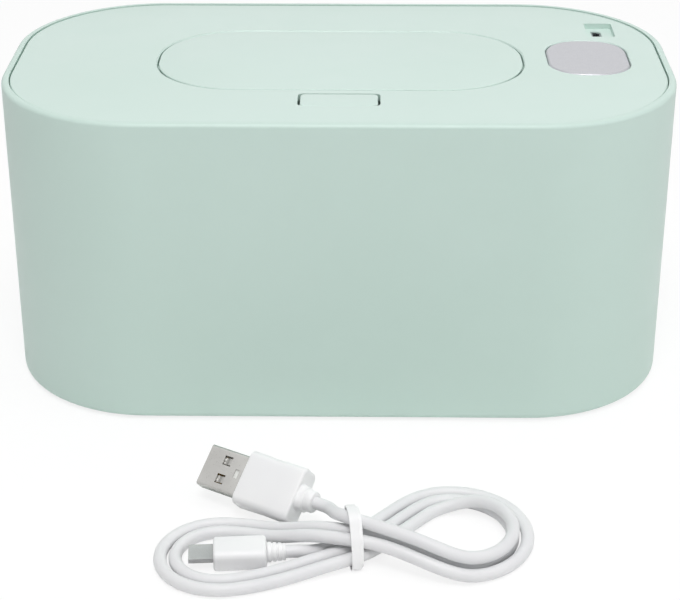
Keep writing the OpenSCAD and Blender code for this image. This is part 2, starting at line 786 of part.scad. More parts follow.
module hinge_arm() {
    y0 = hinge_y;
    z0 = hinge_z;
    top = face_z - lid_t + 0.2;
    profile_x(-arm_w / 2, arm_w / 2, [
        [y0 - arm_front, top], [y0 - arm_front, z0 - arm_low], [y0 + 1.6, z0 - arm_low], [y0 + 1.6, z0],
        [y0 - 1.2, z0], [y0 - 1.2, z0 - arm_low + arm_bar],
            [y0 - arm_front + arm_leg, z0 - arm_low + arm_bar],
        [y0 - arm_front + arm_leg, top]]);
    translate([-arm_w / 2, y0, z0]) rotate([0, 90, 0]) cylinder(r = knuckle_r, h = arm_w);
}

module flip_lid() {
    edge = 0.4;
    land = 0.15;
    core = 4;
    color("#D7E8E1") difference() {
        union() {
            translate([lid_x, lid_y, 0]) {
                edge_ring(lid_w, lid_d, lid_r, concat(
                    [[-core, face_z - lid_t], [-bevel, face_z - lid_t], [0, face_z - edge - land]],
                    arc([-edge, face_z - edge], edge, 0, 90, 4),
                    [[-core, face_z]]));
                slab(lid_w - 2 * core + 2 * lap, lid_d - 2 * core + 2 * lap, lid_r - core + lap,
                    face_z - lid_t, face_z);
            }
            at_arms() hinge_arm();
            profile_x(lid_x - 4, lid_x + 4, [
                [tongue_y, face_z - lid_t + 0.2], [tongue_y, lip_z + lip_t], [lip_y, lip_z + lip_t],
                    [lip_y, lip_z + 0.8],
                [tongue_y, lip_z], [tongue_y + tongue_t, lip_z],
                    [tongue_y + tongue_t, face_z - lid_t + 0.2]]);
        }
        at_arms() translate([-arm_w, hinge_y, hinge_z]) rotate([0, 90, 0])
            cylinder(r = pin_r + run_gap, h = 2 * arm_w);
    }
}

module lid_liner() {
    w = lid_w - 2 * liner_in;
    d = lid_d - 2 * liner_in;
    r = lid_r - liner_in;
    color("#E9EFEC") translate([lid_x, lid_y, 0]) difference() {
        slab(w, d, r, liner_z, face_z - lid_t);
        slab(w - 2 * liner_t, d - 2 * liner_t, r - liner_t, liner_z + liner_t, face_z);
        block([-5.5, -d / 2 - 1, lip_z - 1], [5.5, tongue_y + tongue_t - lid_y + still, face_z]);
        for (s = [-1, 1]) block([s * arm_x - arm_w / 2 - still, hinge_y - arm_front - lid_y - still,
            liner_z - 1],
            [s * arm_x + arm_w / 2 + still, d, face_z]);
    }
}

module lid_gasket() {
    color("#C4CBC8") difference() {
        mouth_slab(gate_t + 1.6, well_z + 2.1, liner_z);
        mouth_slab(gate_t - 1, well_z, liner_z + 1);
    }
}

module button_outline(gx, gy, r, z0, z1) {
    translate([button_x, button_y, 0]) slab(button_w + 2 * gx, button_d + 2 * gy, r, z0, z1);
}

module latch_button() {
    edge = 0.4;
    r = 1.5;
    run = face_z - cap_t - wedge_z;
    wy = ramp_y - (wedge_z - bar_top) + still * sqrt(2);
    color("#D7E8E1") {
        translate([button_x, button_y, 0]) {
            edge_ring(button_w, button_d, r, concat(
                [[-r, skirt_z + 3.5], [0, skirt_z + 3.5]], arc([-edge, face_z - edge], edge, 0, 90, 4),
                    [[-r, face_z]]));
            slab(button_w - 2 * r + thin, button_d - 2 * r + thin, thin, face_z - cap_t, face_z);
            for (s = [-1, 1]) block([s * (button_w / 2 - skirt_t / 2) - skirt_t / 2, -button_d / 2 + r,
                skirt_z],
                [s * (button_w / 2 - skirt_t / 2) + skirt_t / 2, button_d / 2 - r, face_z - cap_t + touch]);
        }
        profile_x(button_x - 3, button_x + 3, [
            [wy, wedge_z], [wy - run - touch, face_z - cap_t + touch], [wy + 3.2, face_z - cap_t + touch],
                [wy + 3.2, wedge_z]]);
    }
}

module button_springs() {
    color("#B9BDC1") for (s = [-1, 1])
        translate([button_x + s * spring_x, button_y, post_z])
            coil(coil_r, coil_wire, face_z - cap_t - post_z, 5);
}

module latch_bar() {
    root = nose_y - 1.7;
    color("#F2F2EE") {
        block([button_x - bar_w / 2, bar_front, bar_z], [button_x + bar_w / 2, root, bar_top]);
        block([button_x - 3, root - 2.3, bar_top - touch], [button_x + 3, root, nose_top]);
        profile_x(button_x - 3, button_x + 3,
            [[root - touch, nose_z], [nose_y, nose_z], [root - touch, nose_top]]);
        profile_x(button_x - 3, button_x + 3, [
            [ramp_y, bar_top - touch], [ramp_y, bar_top], [ramp_y - ramp_h, bar_top + ramp_h],
                [ramp_y - ramp_h, bar_top - touch]]);
    }
}

module latch_spring() {
    color("#B9BDC1") translate([button_x, bar_front, bar_z + bar_t / 2]) rotate([90, 0, 0])
        coil(1.4, 0.4, spring_len, max(1, floor(spring_len / 1.1)));
}

module key_slab(grow, z0, z1) {
    translate([key_x, key_y, 0]) slab(key_w + 2 * grow, key_d + 2 * grow, key_r + grow, z0, z1);
}

module display_key() {
    edge = 0.5;
    color("#C6C7CB") translate([key_x, key_y, 0]) {
        edge_ring(key_w, key_d, key_r, [[-3, face_z - window_t], [0, face_z - window_t], [0, face_z - edge],
            [-edge, face_z], [-3, face_z]]);
        slab(key_w - 6 + 2 * lap, key_d - 6 + 2 * lap, key_r - 3 + lap, face_z - window_t, face_z);
    }
}

// The white frame under the key: it holds the key in the panel and presses the switches
module key_carrier() {
    z1 = face_z - window_t;
    z0 = panel_z - still - carrier_t;
    color("#F2F2EE") difference() {
        union() {
            key_slab(-0.4, z0, z1);
            key_slab(1, z0, z0 + carrier_t);
            for (p = switch_at) translate([p[0], p[1], plunger_z])
                cylinder(r = 1.6, h = z0 - plunger_z + touch);
        }
        translate([key_x, key_y + 3, 0]) slab(display_hole_w, display_hole_d, 1, z0 - 1, z1 + 1);
    }
}

module main_board() {
    color("#2F7D4F") difference() {
        intersection() {
            block([board_x0, board_y0, board_z], [board_x1, board_y1, board_z + board_t]);
            body_slab(base_inner_in + still, board_z - 1, board_z + board_t + 1);
        }
        for (p = board_screw_at) translate([p[0], p[1], board_z - 1]) cylinder(r = 1, h = board_t + 2);
    }
}

module digit_display() {
    z0 = board_z + board_t;
    color("#26282B") block([key_x - 8, key_y - 1.5, z0],
        [key_x + 8, key_y + 7.5, panel_z - still - carrier_t - key_travel - still]);
}

module tact_switches() {
    z0 = board_z + board_t;
    color("#2B2B2E") for (p = switch_at) translate([p[0], p[1], 0]) {
        block([-3, -3, z0], [3, 3, z0 + switch_h]);
        translate([0, 0, z0 + switch_h - touch]) cylinder(r = 1.7, h = stem_h + touch);
    }
}

module board_screws() {
    color("#B8BCC0") for (p = board_screw_at) translate([p[0], p[1], 0]) {
        translate([0, 0, board_z + board_t]) cylinder(r = 1.6, h = 0.9);
        translate([0, 0, base_z - 0.6]) cylinder(r = 0.8, h = board_z + board_t - base_z + 0.8);
    }
}

module usb_port_board() {
    color("#2F7D4F") block([port_x - 8, port_y - 5.2, port_board_z],
        [port_x + 2.6, port_y + 5.2, port_board_z + port_board_t]);
}

// The outline of a micro USB socket: one long side is narrower than the other
module port_shape(grow, z0, z1) {
    w = port_w / 2 + grow;
    l = port_l / 2 + grow;
    translate([port_x, port_y, z0]) linear_extrude(z1 - z0)
        polygon([[-w, -l], [-w, l], [0, l], [w, l - 0.9], [w, -l + 0.9], [0, -l]]);
}

module usb_receptacle() {
    wall = 0.35;
    color("#B9BDC1") difference() {
        port_shape(0, port_z, port_z + port_h);
        port_shape(-wall, port_z + 0.5, port_z + port_h + 1);
    }
}

module receptacle_tongue() {
    color("#26282B") block([port_x - 0.5, port_y - 1.9, port_z + 0.5],
        [port_x + 0.15, port_y + 1.9, port_z + port_h - 0.8]);
}

// Leads from the main board to the heater, the sensors and the port, clipped along the cover
module wiring_harness() {
    x1 = board_x0 + 6;
    up = board_z - 0.8;
    color("#B03A2E") tube([[sensor_x, sensor_y, foam_z + 0.4], [sensor_x, sensor_y, wire_z + 0.6],
        [sensor_x - 1, sensor_y - 3, wire_z],
        [sensor_x, -25, wire_z], [-45, wire_y + 1, wire_z], [-38, wire_y, wire_z], [0, wire_y, wire_z],
        [x1 - 23, wire_y, wire_z], [x1 - 13, wire_y + 8.5, wire_z], [x1 - 2, board_y0 - 6, wire_z],
        [x1, board_y0 - 2, wire_z],
            [x1, board_y0 + 2, wire_z + 0.4],
        [x1, board_y0 + 4.5, up - 0.6], [x1, board_y0 + 4.5, board_z - touch]], wire_d, 8);
}

module at_hank() {
    translate([tie_at[0], tie_at[1], 0]) rotate(hank_turn) children();
}

module at_plug() {
    at_hank() translate(plug_at) rotate([0, 0, plug_turn]) rotate([plug_roll, 0, 0]) children();
}

module at_micro() {
    at_hank() translate(micro_at) rotate([0, 0, micro_turn]) children();
}

// A bar along X with a rounded oblong section
module oblong_x(x0, x1, w, t, r) {
    translate([x0, 0, 0]) rotate([90, 0, 90]) linear_extrude(x1 - x0) rounded(w, t, r);
}

module usb_a_shell() {
    front = grip_x - plug_l;
    color("#B9BBBD") at_plug() difference() {
        oblong_x(front, grip_x + shell_in, plug_w, plug_t, 0.8);
        oblong_x(front - 1, grip_x + shell_in - sheet_t, plug_w - 2 * sheet_t, plug_t - 2 * sheet_t, 0.5);
        for (s = [-1, 1]) block([front + hole_x, s * hole_y - hole_w / 2, -plug_t],
            [front + hole_x + hole_l, s * hole_y + hole_w / 2, plug_t]);
        block([front + notch_x, -notch_w / 2, 0], [front + notch_x + notch_l, notch_w / 2, plug_t]);
    }
}

module usb_a_insert() {
    front = grip_x - plug_l;
    low = -plug_t / 2 + sheet_t + touch;
    color("#F2F2EE") at_plug() {
        block([front + 0.8, -plug_w / 2 + sheet_t + 0.4, low], [grip_x + shell_in - sheet_t - touch,
            plug_w / 2 - sheet_t - 0.4, low + 1.75]);
    }
}

module usb_a_contacts() {
    front = grip_x - plug_l;
    z = -plug_t / 2 + sheet_t + 2 * touch + 1.75;
    color("#D9B45A") at_plug() for (y = [-3.5, -1, 1, 3.5])
        block([front + (abs(y) > 2 ? 2 : 3), y - 0.5, z], [front + 9.4, y + 0.5, z + 0.15]);
}

module usb_a_overmold() {
    color("#F4F4F3") at_plug() difference() {
        union() {
            oblong_x(grip_x + 0.5, -boot_l - 0.8, grip_w, grip_t, 2);
            oblong_x(grip_x, -boot_l, grip_w - 1.2, grip_t - 1.2, 1.6);
            oblong_x(-boot_l - touch, -2.4, 7, 6.4, 2.2);
            rotate([0, -90, 0]) cylinder(d = 6, h = 2.6);
        }
        oblong_x(grip_x - 1, grip_x + shell_in + touch, plug_w + 2 * touch, plug_t + 2 * touch, 0.8);
    }
}

module cord_hank() {
    echo(least_gap_in_the_hank = least_gap(smooth(hank_line(), 4), cord_d, 20));
    color("#F4F4F3") at_hank() tube(smooth(hank_line(), 2), cord_d, 6);
}

// The band round the strands, which pass it in three rows
module cable_tie() {
    at = [[-5.4, row_z[0]], [7.4, row_z[0]], [-3.6, row_z[1]], [-0.5, row_z[2]], [6.2, row_z[2] - 0.4]];
    inside = cord_d / 2 + tie_gap;
    color("#F1F1EF") at_hank() translate([0.6, 0, 0]) rotate([90, 0, 90])
        linear_extrude(tie_w, center = true) difference() {
        hull() for (p = at) translate(p) circle(inside + tie_t, $fn = 32);
        hull() for (p = at) translate(p) circle(inside, $fn = 32);
    }
}

module micro_section(x0, x1, w, t) {
    translate([x0, 0, 0]) rotate([90, 0, 90]) linear_extrude(x1 - x0)
        polygon([[-w / 2, t / 2], [w / 2, t / 2], [w / 2, 0], [w / 2 - 0.8, -t / 2], [-w / 2 + 0.8, -t / 2],
            [-w / 2, 0]]);
}

module micro_usb_shell() {
    front = micro_grip_x - micro_l;
    color("#B9BBBD") at_micro() difference() {
        micro_section(front, micro_grip_x + micro_in, micro_w, micro_t);
        micro_section(front - 1, micro_grip_x + micro_in - 0.25, micro_w - 0.5, micro_t - 0.5);
    }
}

module micro_usb_insert() {
    front = micro_grip_x - micro_l;
    color("#26282B") at_micro()
        micro_section(front + 1.2, micro_grip_x + micro_in - 0.27, micro_w - 1.9, 0.6);
}

module micro_usb_overmold() {
    color("#F4F4F3") at_micro() difference() {
        union() {
            oblong_x(micro_grip_x, -micro_boot_l, micro_grip_w, micro_grip_t, 1.6);
            rotate([0, -90, 0]) cylinder(r1 = 2.3, r2 = 2.7, h = micro_boot_l + touch);
        }
        micro_section(micro_grip_x - 1, micro_grip_x + micro_in + touch, micro_w + 2 * touch,
            micro_t + 2 * touch);
    }
}

outer_shell();
rubber_feet();
insulation_sleeve();
floor_insulation();
inner_tub();
tub_screws();
top_panel();
cover_gasket();
cover_base();
heater_insulation();
heater_film();
heater_plate();
temperature_sensor();
thermal_cutoff();
cover_screws();
lid_well();
dispenser_gate();
lid_hinge_pin();
lid_kick_springs();
flip_lid();
lid_liner();
lid_gasket();
latch_button();
button_springs();
latch_bar();
latch_spring();
display_key();
key_carrier();
main_board();
digit_display();
tact_switches();
board_screws();
usb_port_board();
usb_receptacle();
receptacle_tongue();
wiring_harness();
usb_a_shell();
usb_a_insert();
usb_a_contacts();
usb_a_overmold();
cord_hank();
cable_tie();
micro_usb_shell();
micro_usb_insert();
micro_usb_overmold();
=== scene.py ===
# Looks of the portable wipe warmer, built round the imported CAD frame. Metres, same frame as the CAD.
import math

import bmesh
import bpy
from mathutils import Matrix, Vector


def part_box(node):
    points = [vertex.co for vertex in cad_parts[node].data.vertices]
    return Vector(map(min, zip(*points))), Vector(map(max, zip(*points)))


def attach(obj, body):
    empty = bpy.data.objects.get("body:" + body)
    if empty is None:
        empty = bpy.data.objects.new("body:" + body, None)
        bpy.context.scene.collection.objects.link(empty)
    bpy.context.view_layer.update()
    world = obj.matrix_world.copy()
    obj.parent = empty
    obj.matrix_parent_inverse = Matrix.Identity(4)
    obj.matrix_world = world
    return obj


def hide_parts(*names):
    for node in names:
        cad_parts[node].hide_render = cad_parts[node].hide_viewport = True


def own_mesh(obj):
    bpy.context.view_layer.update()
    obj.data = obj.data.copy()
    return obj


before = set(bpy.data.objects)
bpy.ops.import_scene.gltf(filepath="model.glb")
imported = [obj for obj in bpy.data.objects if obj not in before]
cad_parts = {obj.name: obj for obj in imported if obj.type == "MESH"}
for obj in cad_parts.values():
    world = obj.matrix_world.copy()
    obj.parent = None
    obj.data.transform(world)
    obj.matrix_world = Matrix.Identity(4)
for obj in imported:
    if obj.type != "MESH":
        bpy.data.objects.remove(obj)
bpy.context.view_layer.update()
scene = bpy.context.scene
MM = 0.001


def mm(*p):
    return Vector(p) * MM


# Camera: the photograph's viewpoint, from the joint fit of the body's outline and the lead

CAMERA_AT = mm(8.19, -527.19, 275.93)
YAW, PITCH, ROLL = (math.radians(a) for a in (-0.87, 26.56, -0.07))
FOCAL_PX, PHOTO_W, SENSOR = 1817.9, 680, 36.0
CLIP_NEAR, CLIP_FAR = 0.01, 30


def make_camera():
    ahead = Vector((math.sin(YAW) * math.cos(PITCH), math.cos(YAW) * math.cos(PITCH), -math.sin(PITCH)))
    right = Vector((math.cos(YAW), -math.sin(YAW), 0))
    up = right.cross(ahead)
    x = right * math.cos(ROLL) + up * math.sin(ROLL)
    y = up * math.cos(ROLL) - right * math.sin(ROLL)
    data = bpy.data.cameras.new("camera")
    data.sensor_width = SENSOR
    data.lens = FOCAL_PX / PHOTO_W * SENSOR
    data.clip_start = CLIP_NEAR
    data.clip_end = CLIP_FAR
    cam = bpy.data.objects.new("camera", data)
    cam.matrix_world = Matrix.Translation(CAMERA_AT) @ Matrix((x, y, -ahead)).transposed().to_4x4()
    scene.collection.objects.link(cam)
    scene.camera = cam


make_camera()


# Materials


def srgb(r, g, b):
    """A colour written in 0 to 255 as the linear values that shaders take."""
    return tuple(((c / 255 + 0.055) / 1.055) ** 2.4 if c > 10 else c / 255 / 12.92 for c in (r, g, b)) + (1,)


# Where most values of a noise lie, and the narrower part where they are at their densest
NOISE_SPAN, CLOSE_SPAN = (0.3, 0.7), (0.35, 0.65)


class Shader:
    """A node material with a Principled BSDF and short calls for what feeds it."""

    def __init__(self, name, metallic=0.0, specular=0.5, coat=0.0):
        self.mat = bpy.data.materials.new(name)
        self.mat.use_nodes = True
        self.nodes = self.mat.node_tree.nodes
        self.links = self.mat.node_tree.links
        self.bsdf = self.nodes["Principled BSDF"]
        self.set(self.bsdf, {"Metallic": metallic, "Specular IOR Level": specular, "Coat Weight": coat})
        self.place = self.nodes.new("ShaderNodeTexCoord").outputs["Object"]

    def set(self, node, values):
        for name, value in values.items():
            node.inputs[name].default_value = value

    def link(self, a, b):
        self.links.new(a, b)

    def noise(self, scale, detail=3.0, rough=0.55, stretch=(1, 1, 1)):
        """Noise over the object's own place; a larger stretch packs it along that axis."""
        mapping = self.nodes.new("ShaderNodeMapping")
        mapping.inputs["Scale"].default_value = stretch
        self.link(self.place, mapping.inputs["Vector"])
        tex = self.nodes.new("ShaderNodeTexNoise")
        self.set(tex, {"Scale": scale, "Detail": detail, "Roughness": rough})
        self.link(mapping.outputs[0], tex.inputs["Vector"])
        return tex.outputs["Fac"]

    def cells(self, scale, randomness=1.0):
        """The distance to the nearest of many scattered points."""
        tex = self.nodes.new("ShaderNodeTexVoronoi")
        self.set(tex, {"Scale": scale, "Randomness": randomness})
        self.link(self.place, tex.inputs["Vector"])
        return tex.outputs["Distance"]

    def ramp(self, value, low, high, out_low=0, out_high=1):
        """The value, with low to high brought to out_low to out_high."""
        node = self.nodes.new("ShaderNodeMapRange")
        self.set(node, {"From Min": low, "From Max": high, "To Min": out_low, "To Max": out_high})
        self.link(value, node.inputs["Value"])
        return node.outputs["Result"]

    def colour(self, value, a, b):
        """A base colour that goes from a to b with the value."""
        mix = self.nodes.new("ShaderNodeMix")
        mix.data_type = "RGBA"
        mix.inputs["A"].default_value = a
        mix.inputs["B"].default_value = b
        self.link(value, mix.inputs["Factor"])
        self.link(mix.outputs["Result"], self.bsdf.inputs["Base Color"])

    def roughness(self, value, low, high):
        self.link(self.ramp(value, *NOISE_SPAN, low, high), self.bsdf.inputs["Roughness"])

    def bump(self, *layers):
        """Layers of (height, distance in metres, strength), one on top of the other."""
        normal = None
        for value, distance, strength in layers:
            node = self.nodes.new("ShaderNodeBump")
            self.set(node, {"Distance": distance, "Strength": strength})
            self.link(value, node.inputs["Height"])
            if normal:
                self.link(normal, node.inputs["Normal"])
            normal = node.outputs["Normal"]
        self.link(normal, self.bsdf.inputs["Normal"])


# A pattern's scale is about how many times it repeats in a metre
DRIFT, MOULD_GRAIN = 14, 1400


def moulded(name, a, b, rough=(0.34, 0.44), coat=0.0):
    """Moulded plastic: a slow drift of colour, and the fine grain that the mould leaves."""
    s = Shader(name, coat=coat)
    s.colour(s.ramp(s.noise(DRIFT, detail=4, rough=0.6), *NOISE_SPAN), a, b)
    s.roughness(s.noise(DRIFT * 5, detail=4), *rough)
    flow = s.noise(DRIFT * 3, detail=2, rough=0.5)
    fine = s.noise(MOULD_GRAIN, detail=2, rough=0.6)
    s.bump((flow, 0.4 * MM, 0.25), (fine, 0.03 * MM, 0.35))
    return s.mat


def metal(name, a, b, rough, stretch, scale=900, depth=0.01):
    """Drawn or rolled metal with fine lines along one direction."""
    s = Shader(name, metallic=1.0)
    lines = s.noise(scale, detail=3, rough=0.6, stretch=stretch)
    s.colour(s.ramp(s.noise(scale=60, detail=4), *CLOSE_SPAN), a, b)
    s.roughness(lines, *rough)
    s.bump((lines, depth * MM, 0.3))
    return s.mat


def foam(name, a, b):
    """Open foam: small cells with hollows between them, on a slightly uneven surface. The hollows are painted
    darker, as painted shade.
    """
    s = Shader(name, specular=0.2)
    pits_and_shade = s.cells(scale=900)
    # The darker colour in the hollows is painted shade
    s.colour(s.ramp(pits_and_shade, 0, 0.6), b, a)
    s.bsdf.inputs["Roughness"].default_value = 0.95
    s.bump((s.noise(scale=80, detail=3), 0.8 * MM, 0.4), (pits_and_shade, 0.3 * MM, 0.6))
    return s.mat


def rubber(name, a, b, rough=(0.5, 0.68), grain=2200):
    """Rubber, silicone or a lead's skin: dull, with a very fine grain."""
    s = Shader(name, specular=0.4)
    s.colour(s.ramp(s.noise(scale=40, detail=3), *CLOSE_SPAN), a, b)
    s.roughness(s.noise(scale=260, detail=3), *rough)
    s.bump((s.noise(grain, detail=2), 0.02 * MM, 0.4))
    return s.mat


def circuit_board(name, a, b):
    """Solder mask over copper tracks, which show as faint raised lines."""
    s = Shader(name, coat=0.3)
    raised = s.ramp(s.cells(scale=260, randomness=0.35), 0.42, 0.5)
    s.colour(raised, a, b)
    s.roughness(s.noise(scale=300), 0.28, 0.4)
    s.bump((raised, 0.05 * MM, 0.5))
    return s.mat


def pearl(name, a, b):
    """Pearl lacquer: a grey body with very fine flakes under a clear coat."""
    s = Shader(name, metallic=0.25, coat=0.35)
    s.bsdf.inputs["Coat Roughness"].default_value = 0.12
    flakes = s.cells(scale=5200)
    s.colour(s.ramp(flakes, 0.1, 0.7), a, b)
    s.roughness(s.noise(scale=500), 0.34, 0.46)
    s.bump((flakes, 0.01 * MM, 0.25))
    return s.mat


# Each material's kind, its two colours, and what else that kind takes
SATIN, DRAWN = {"rough": (0.36, 0.46), "grain": 3000}, {"stretch": (1, 1, 1), "scale": 2600, "depth": 0.012}
LOOKS = {
    "mint_shell": (moulded, (204, 225, 217), (201, 223, 214), {}),
    "mint_cover": (moulded, (209, 228, 221), (206, 226, 218), {"rough": (0.36, 0.46)}),
    "white_plastic": (moulded, (236, 237, 233), (230, 232, 228), {"rough": (0.42, 0.52)}),
    "silver_key": (pearl, (197, 198, 203), (184, 185, 190), {}),
    "silicone": (rubber, (206, 214, 210), (198, 207, 203), {"rough": (0.42, 0.55)}),
    "foot_rubber": (rubber, (172, 180, 176), (160, 169, 165), {}),
    "foam": (foam, (232, 228, 216), (206, 200, 186), {}),
    "heater_film": (moulded, (196, 122, 42), (182, 108, 34), {"rough": (0.2, 0.32), "coat": 0.4}),
    "aluminium_plate": (metal, (206, 208, 210), (194, 196, 199),
                        {"rough": (0.28, 0.42), "stretch": (1, 30, 30), "scale": 30}),
    "steel": (metal, (196, 198, 201), (176, 179, 183), {"rough": (0.2, 0.34), "stretch": (8, 1, 1)}),
    "circuit_board": (circuit_board, (30, 104, 62), (52, 140, 84), {}),
    "black_plastic": (moulded, (30, 31, 33), (22, 22, 24), {"rough": (0.4, 0.5)}),
    "cutoff_case": (moulded, (134, 90, 62), (118, 78, 52), {"rough": (0.4, 0.55)}),
    "lead_red": (rubber, (166, 44, 36), (148, 38, 32), {"rough": (0.38, 0.5)}),
    "lead_white": (rubber, (247, 247, 247), (243, 243, 244), SATIN),
    # The lead's skin: the grips' white made greyer, as painted shade on the thin cord
    "cord_painted_shade": (rubber, (234, 234, 235), (229, 229, 231), SATIN),
    "plug_steel": (metal, (196, 195, 192), (178, 177, 174), {"rough": (0.26, 0.44), **DRAWN}),
    # The micro plug's tip: the plug's steel, duller, and darker as painted shade
    "tip_steel_painted_shade": (metal, (188, 188, 188), (172, 172, 173), {"rough": (0.5, 0.66), **DRAWN}),
    "contact_gold": (metal, (226, 182, 92), (206, 160, 74), {"rough": (0.18, 0.28), "stretch": (1, 12, 1)}),
}
MATERIALS = {name: kind(name, srgb(*a), srgb(*b), **more) for name, (kind, a, b, more) in LOOKS.items()}

# Edges sharper than the angle stay sharp. Points nearer than these, in metres, become one: along the seams
# of a CAD mesh, and in a piece made here.
SHARP_ANGLE = math.radians(32)
SEAM, SAME_POINT = 2e-6, 1e-7


def smooth_shading():
    """Merges the seams of a CAD mesh and shades it smooth, apart from its real edges."""
    g = bpy.data.node_groups.new("smooth_shading", "GeometryNodeTree")
    g.interface.new_socket("Geometry", in_out="INPUT", socket_type="NodeSocketGeometry")
    g.interface.new_socket("Geometry", in_out="OUTPUT", socket_type="NodeSocketGeometry")
    new = g.nodes.new
    start, end = new("NodeGroupInput"), new("NodeGroupOutput")
    bare = new("GeometryNodeRemoveAttribute")
    bare.inputs["Name"].default_value = "custom_normal"
    weld = new("GeometryNodeMergeByDistance")
    weld.inputs["Distance"].default_value = SEAM
    soft = new("GeometryNodeSetShadeSmooth")
    sharp = new("GeometryNodeSetShadeSmooth")
    sharp.domain = "EDGE"
    sharp.inputs["Shade Smooth"].default_value = False
    edge = new("GeometryNodeInputMeshEdgeAngle")
    test = new("FunctionNodeCompare")
    test.data_type = "FLOAT"
    test.operation = "GREATER_THAN"
    test.inputs["B"].default_value = SHARP_ANGLE
    chain = [start, bare, weld, soft, sharp, end]
    for a, b in zip(chain, chain[1:]):
        g.links.new(a.outputs["Geometry"], b.inputs["Geometry"])
    g.links.new(edge.outputs["Unsigned Angle"], test.inputs["A"])
    g.links.new(test.outputs["Result"], sharp.inputs["Selection"])
    return g


SMOOTH = smooth_shading()


def smoothed(obj):
    obj.modifiers.new("smooth_shading", "NODES").node_group = SMOOTH
    return obj


def paint(obj, look):
    """Gives an object its one material."""
    obj.data.materials.clear()
    obj.data.materials.append(MATERIALS[look])
    return obj


NODE_LOOK = {
    "mint_shell": ["outer_shell"],
    "mint_cover": ["top_panel", "lid_well", "flip_lid", "latch_button"],
    "white_plastic": ["inner_tub", "cover_base", "lid_liner", "latch_bar", "key_carrier", "usb_a_insert"],
    "silver_key": ["display_key"],
    "heater_film": ["heater_film"],
    "aluminium_plate": ["heater_plate"],
    "steel": ["tub_screws", "cover_screws", "lid_hinge_pin", "lid_kick_springs", "button_springs",
              "latch_spring", "board_screws", "usb_receptacle"],
    "circuit_board": ["main_board", "usb_port_board"],
    "black_plastic": ["temperature_sensor", "digit_display", "tact_switches", "receptacle_tongue",
                      "micro_usb_insert"],
    "cutoff_case": ["thermal_cutoff"],
    "plug_steel": ["usb_a_shell"],
    # The micro plug's shell takes the darker steel, whose darkness is painted shade
    "tip_steel_painted_shade": ["micro_usb_shell"],
    "contact_gold": ["usb_a_contacts"],
    "silicone": ["cover_gasket", "dispenser_gate", "lid_gasket"],
    "foot_rubber": ["rubber_feet"],
    "foam": ["insulation_sleeve", "floor_insulation", "heater_insulation"],
    "lead_red": ["wiring_harness"],
    "lead_white": ["usb_a_overmold", "cord_hank", "cable_tie", "micro_usb_overmold"],
}

for look, names in NODE_LOOK.items():
    for name in names:
        smoothed(paint(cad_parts[name], look))


# Mesh helpers

# Steps of a quarter turn round a path, round a moulded body and over a rounded edge
RING_STEPS, LOFT_STEPS, CURL_STEPS = 20, 8, 5
# What is left flat, at least, beside a round corner
LEAST_FLAT = 0.01


def dress(obj, body, replaced=()):
    """Attaches an object to the empty of the body it moves with, and hides the CAD nodes that it stands for.
    """
    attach(obj, body)
    if replaced:
        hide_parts(*replaced)


def piece(name, verts, faces, slot, body, replaced=()):
    """A new smooth, painted and dressed object from points in metres."""
    mesh = bpy.data.meshes.new(name)
    mesh.from_pydata([tuple(v) for v in verts], [], faces)
    mesh.validate()
    b = bmesh.new()
    b.from_mesh(mesh)
    bmesh.ops.remove_doubles(b, verts=b.verts, dist=SAME_POINT)
    bmesh.ops.recalc_face_normals(b, faces=b.faces)
    b.to_mesh(mesh)
    b.free()
    obj = bpy.data.objects.new(name, mesh)
    scene.collection.objects.link(obj)
    smoothed(paint(obj, slot))
    dress(obj, body, replaced)
    return obj


def closed_rows(rows, caps=True):
    """Points and faces of a skin over rows of points: each row is a ring, joined to the next."""
    n, faces = len(rows[0]), []
    for i in range(len(rows) - 1):
        for k in range(n):
            a, b = i * n + k, i * n + (k + 1) % n
            faces.append((a, b, b + n, a + n))
    if caps:
        faces.append(tuple(range(n))[::-1])
        faces.append(tuple(range((len(rows) - 1) * n, len(rows) * n)))
    return [p for r in rows for p in r], faces


def outline(w, d, r, steps):
    """Points and outward directions round a rectangle with round corners, in millimetres."""
    out = []
    for k, (sx, sy) in enumerate(((1, 1), (-1, 1), (-1, -1), (1, -1))):
        cx, cy = sx * (w / 2 - r), sy * (d / 2 - r)
        for i in range(steps + 1):
            a = math.radians(90 * k + 90 * i / steps)
            out.append((cx + r * math.cos(a), cy + r * math.sin(a), math.cos(a), math.sin(a)))
    return out


def swept_ring(name, w, d, r, section, slot, body, replaced=(), centre=(0, 0)):
    """A closed section, in millimetres out and up, swept round a rectangle with round corners."""
    verts, faces = [], []
    path, n = outline(w, d, r, RING_STEPS), len(section)
    for x, y, nx, ny in path:
        verts += [mm(centre[0] + x + nx * s, centre[1] + y + ny * s, z) for s, z in section]
    for i in range(len(path)):
        j = (i + 1) % len(path)
        for k in range(n):
            m = (k + 1) % n
            faces.append((i * n + k, j * n + k, j * n + m, i * n + m))
    piece(name, verts, faces, slot, body, replaced)


def lofted(name, sections, place, slot, body, replaced=()):
    """A moulded body along X from sections of (x, width, thickness, corner radius) in millimetres."""
    rows = []
    for x, w, t, r in sections:
        corner = min(r, w / 2 - LEAST_FLAT, t / 2 - LEAST_FLAT)
        rows.append([place(x, y, z) for y, z, _, _ in outline(w, t, corner, LOFT_STEPS)])
    verts, faces = closed_rows(rows)
    piece(name, verts, faces, slot, body, replaced)


def rounded_end(x0, x1, w, t, r, curl):
    """Sections that round off a bar's end at x0 over the length of curl, towards x1."""
    way = 1 if x1 > x0 else -1
    out = []
    for i in range(CURL_STEPS + 1):
        a = math.radians(90 * i / CURL_STEPS)
        out.append((x0 + way * curl * (1 - math.cos(a)), w - 2 * curl * (1 - math.sin(a)),
                    t - 2 * curl * (1 - math.sin(a)), r))
    return out


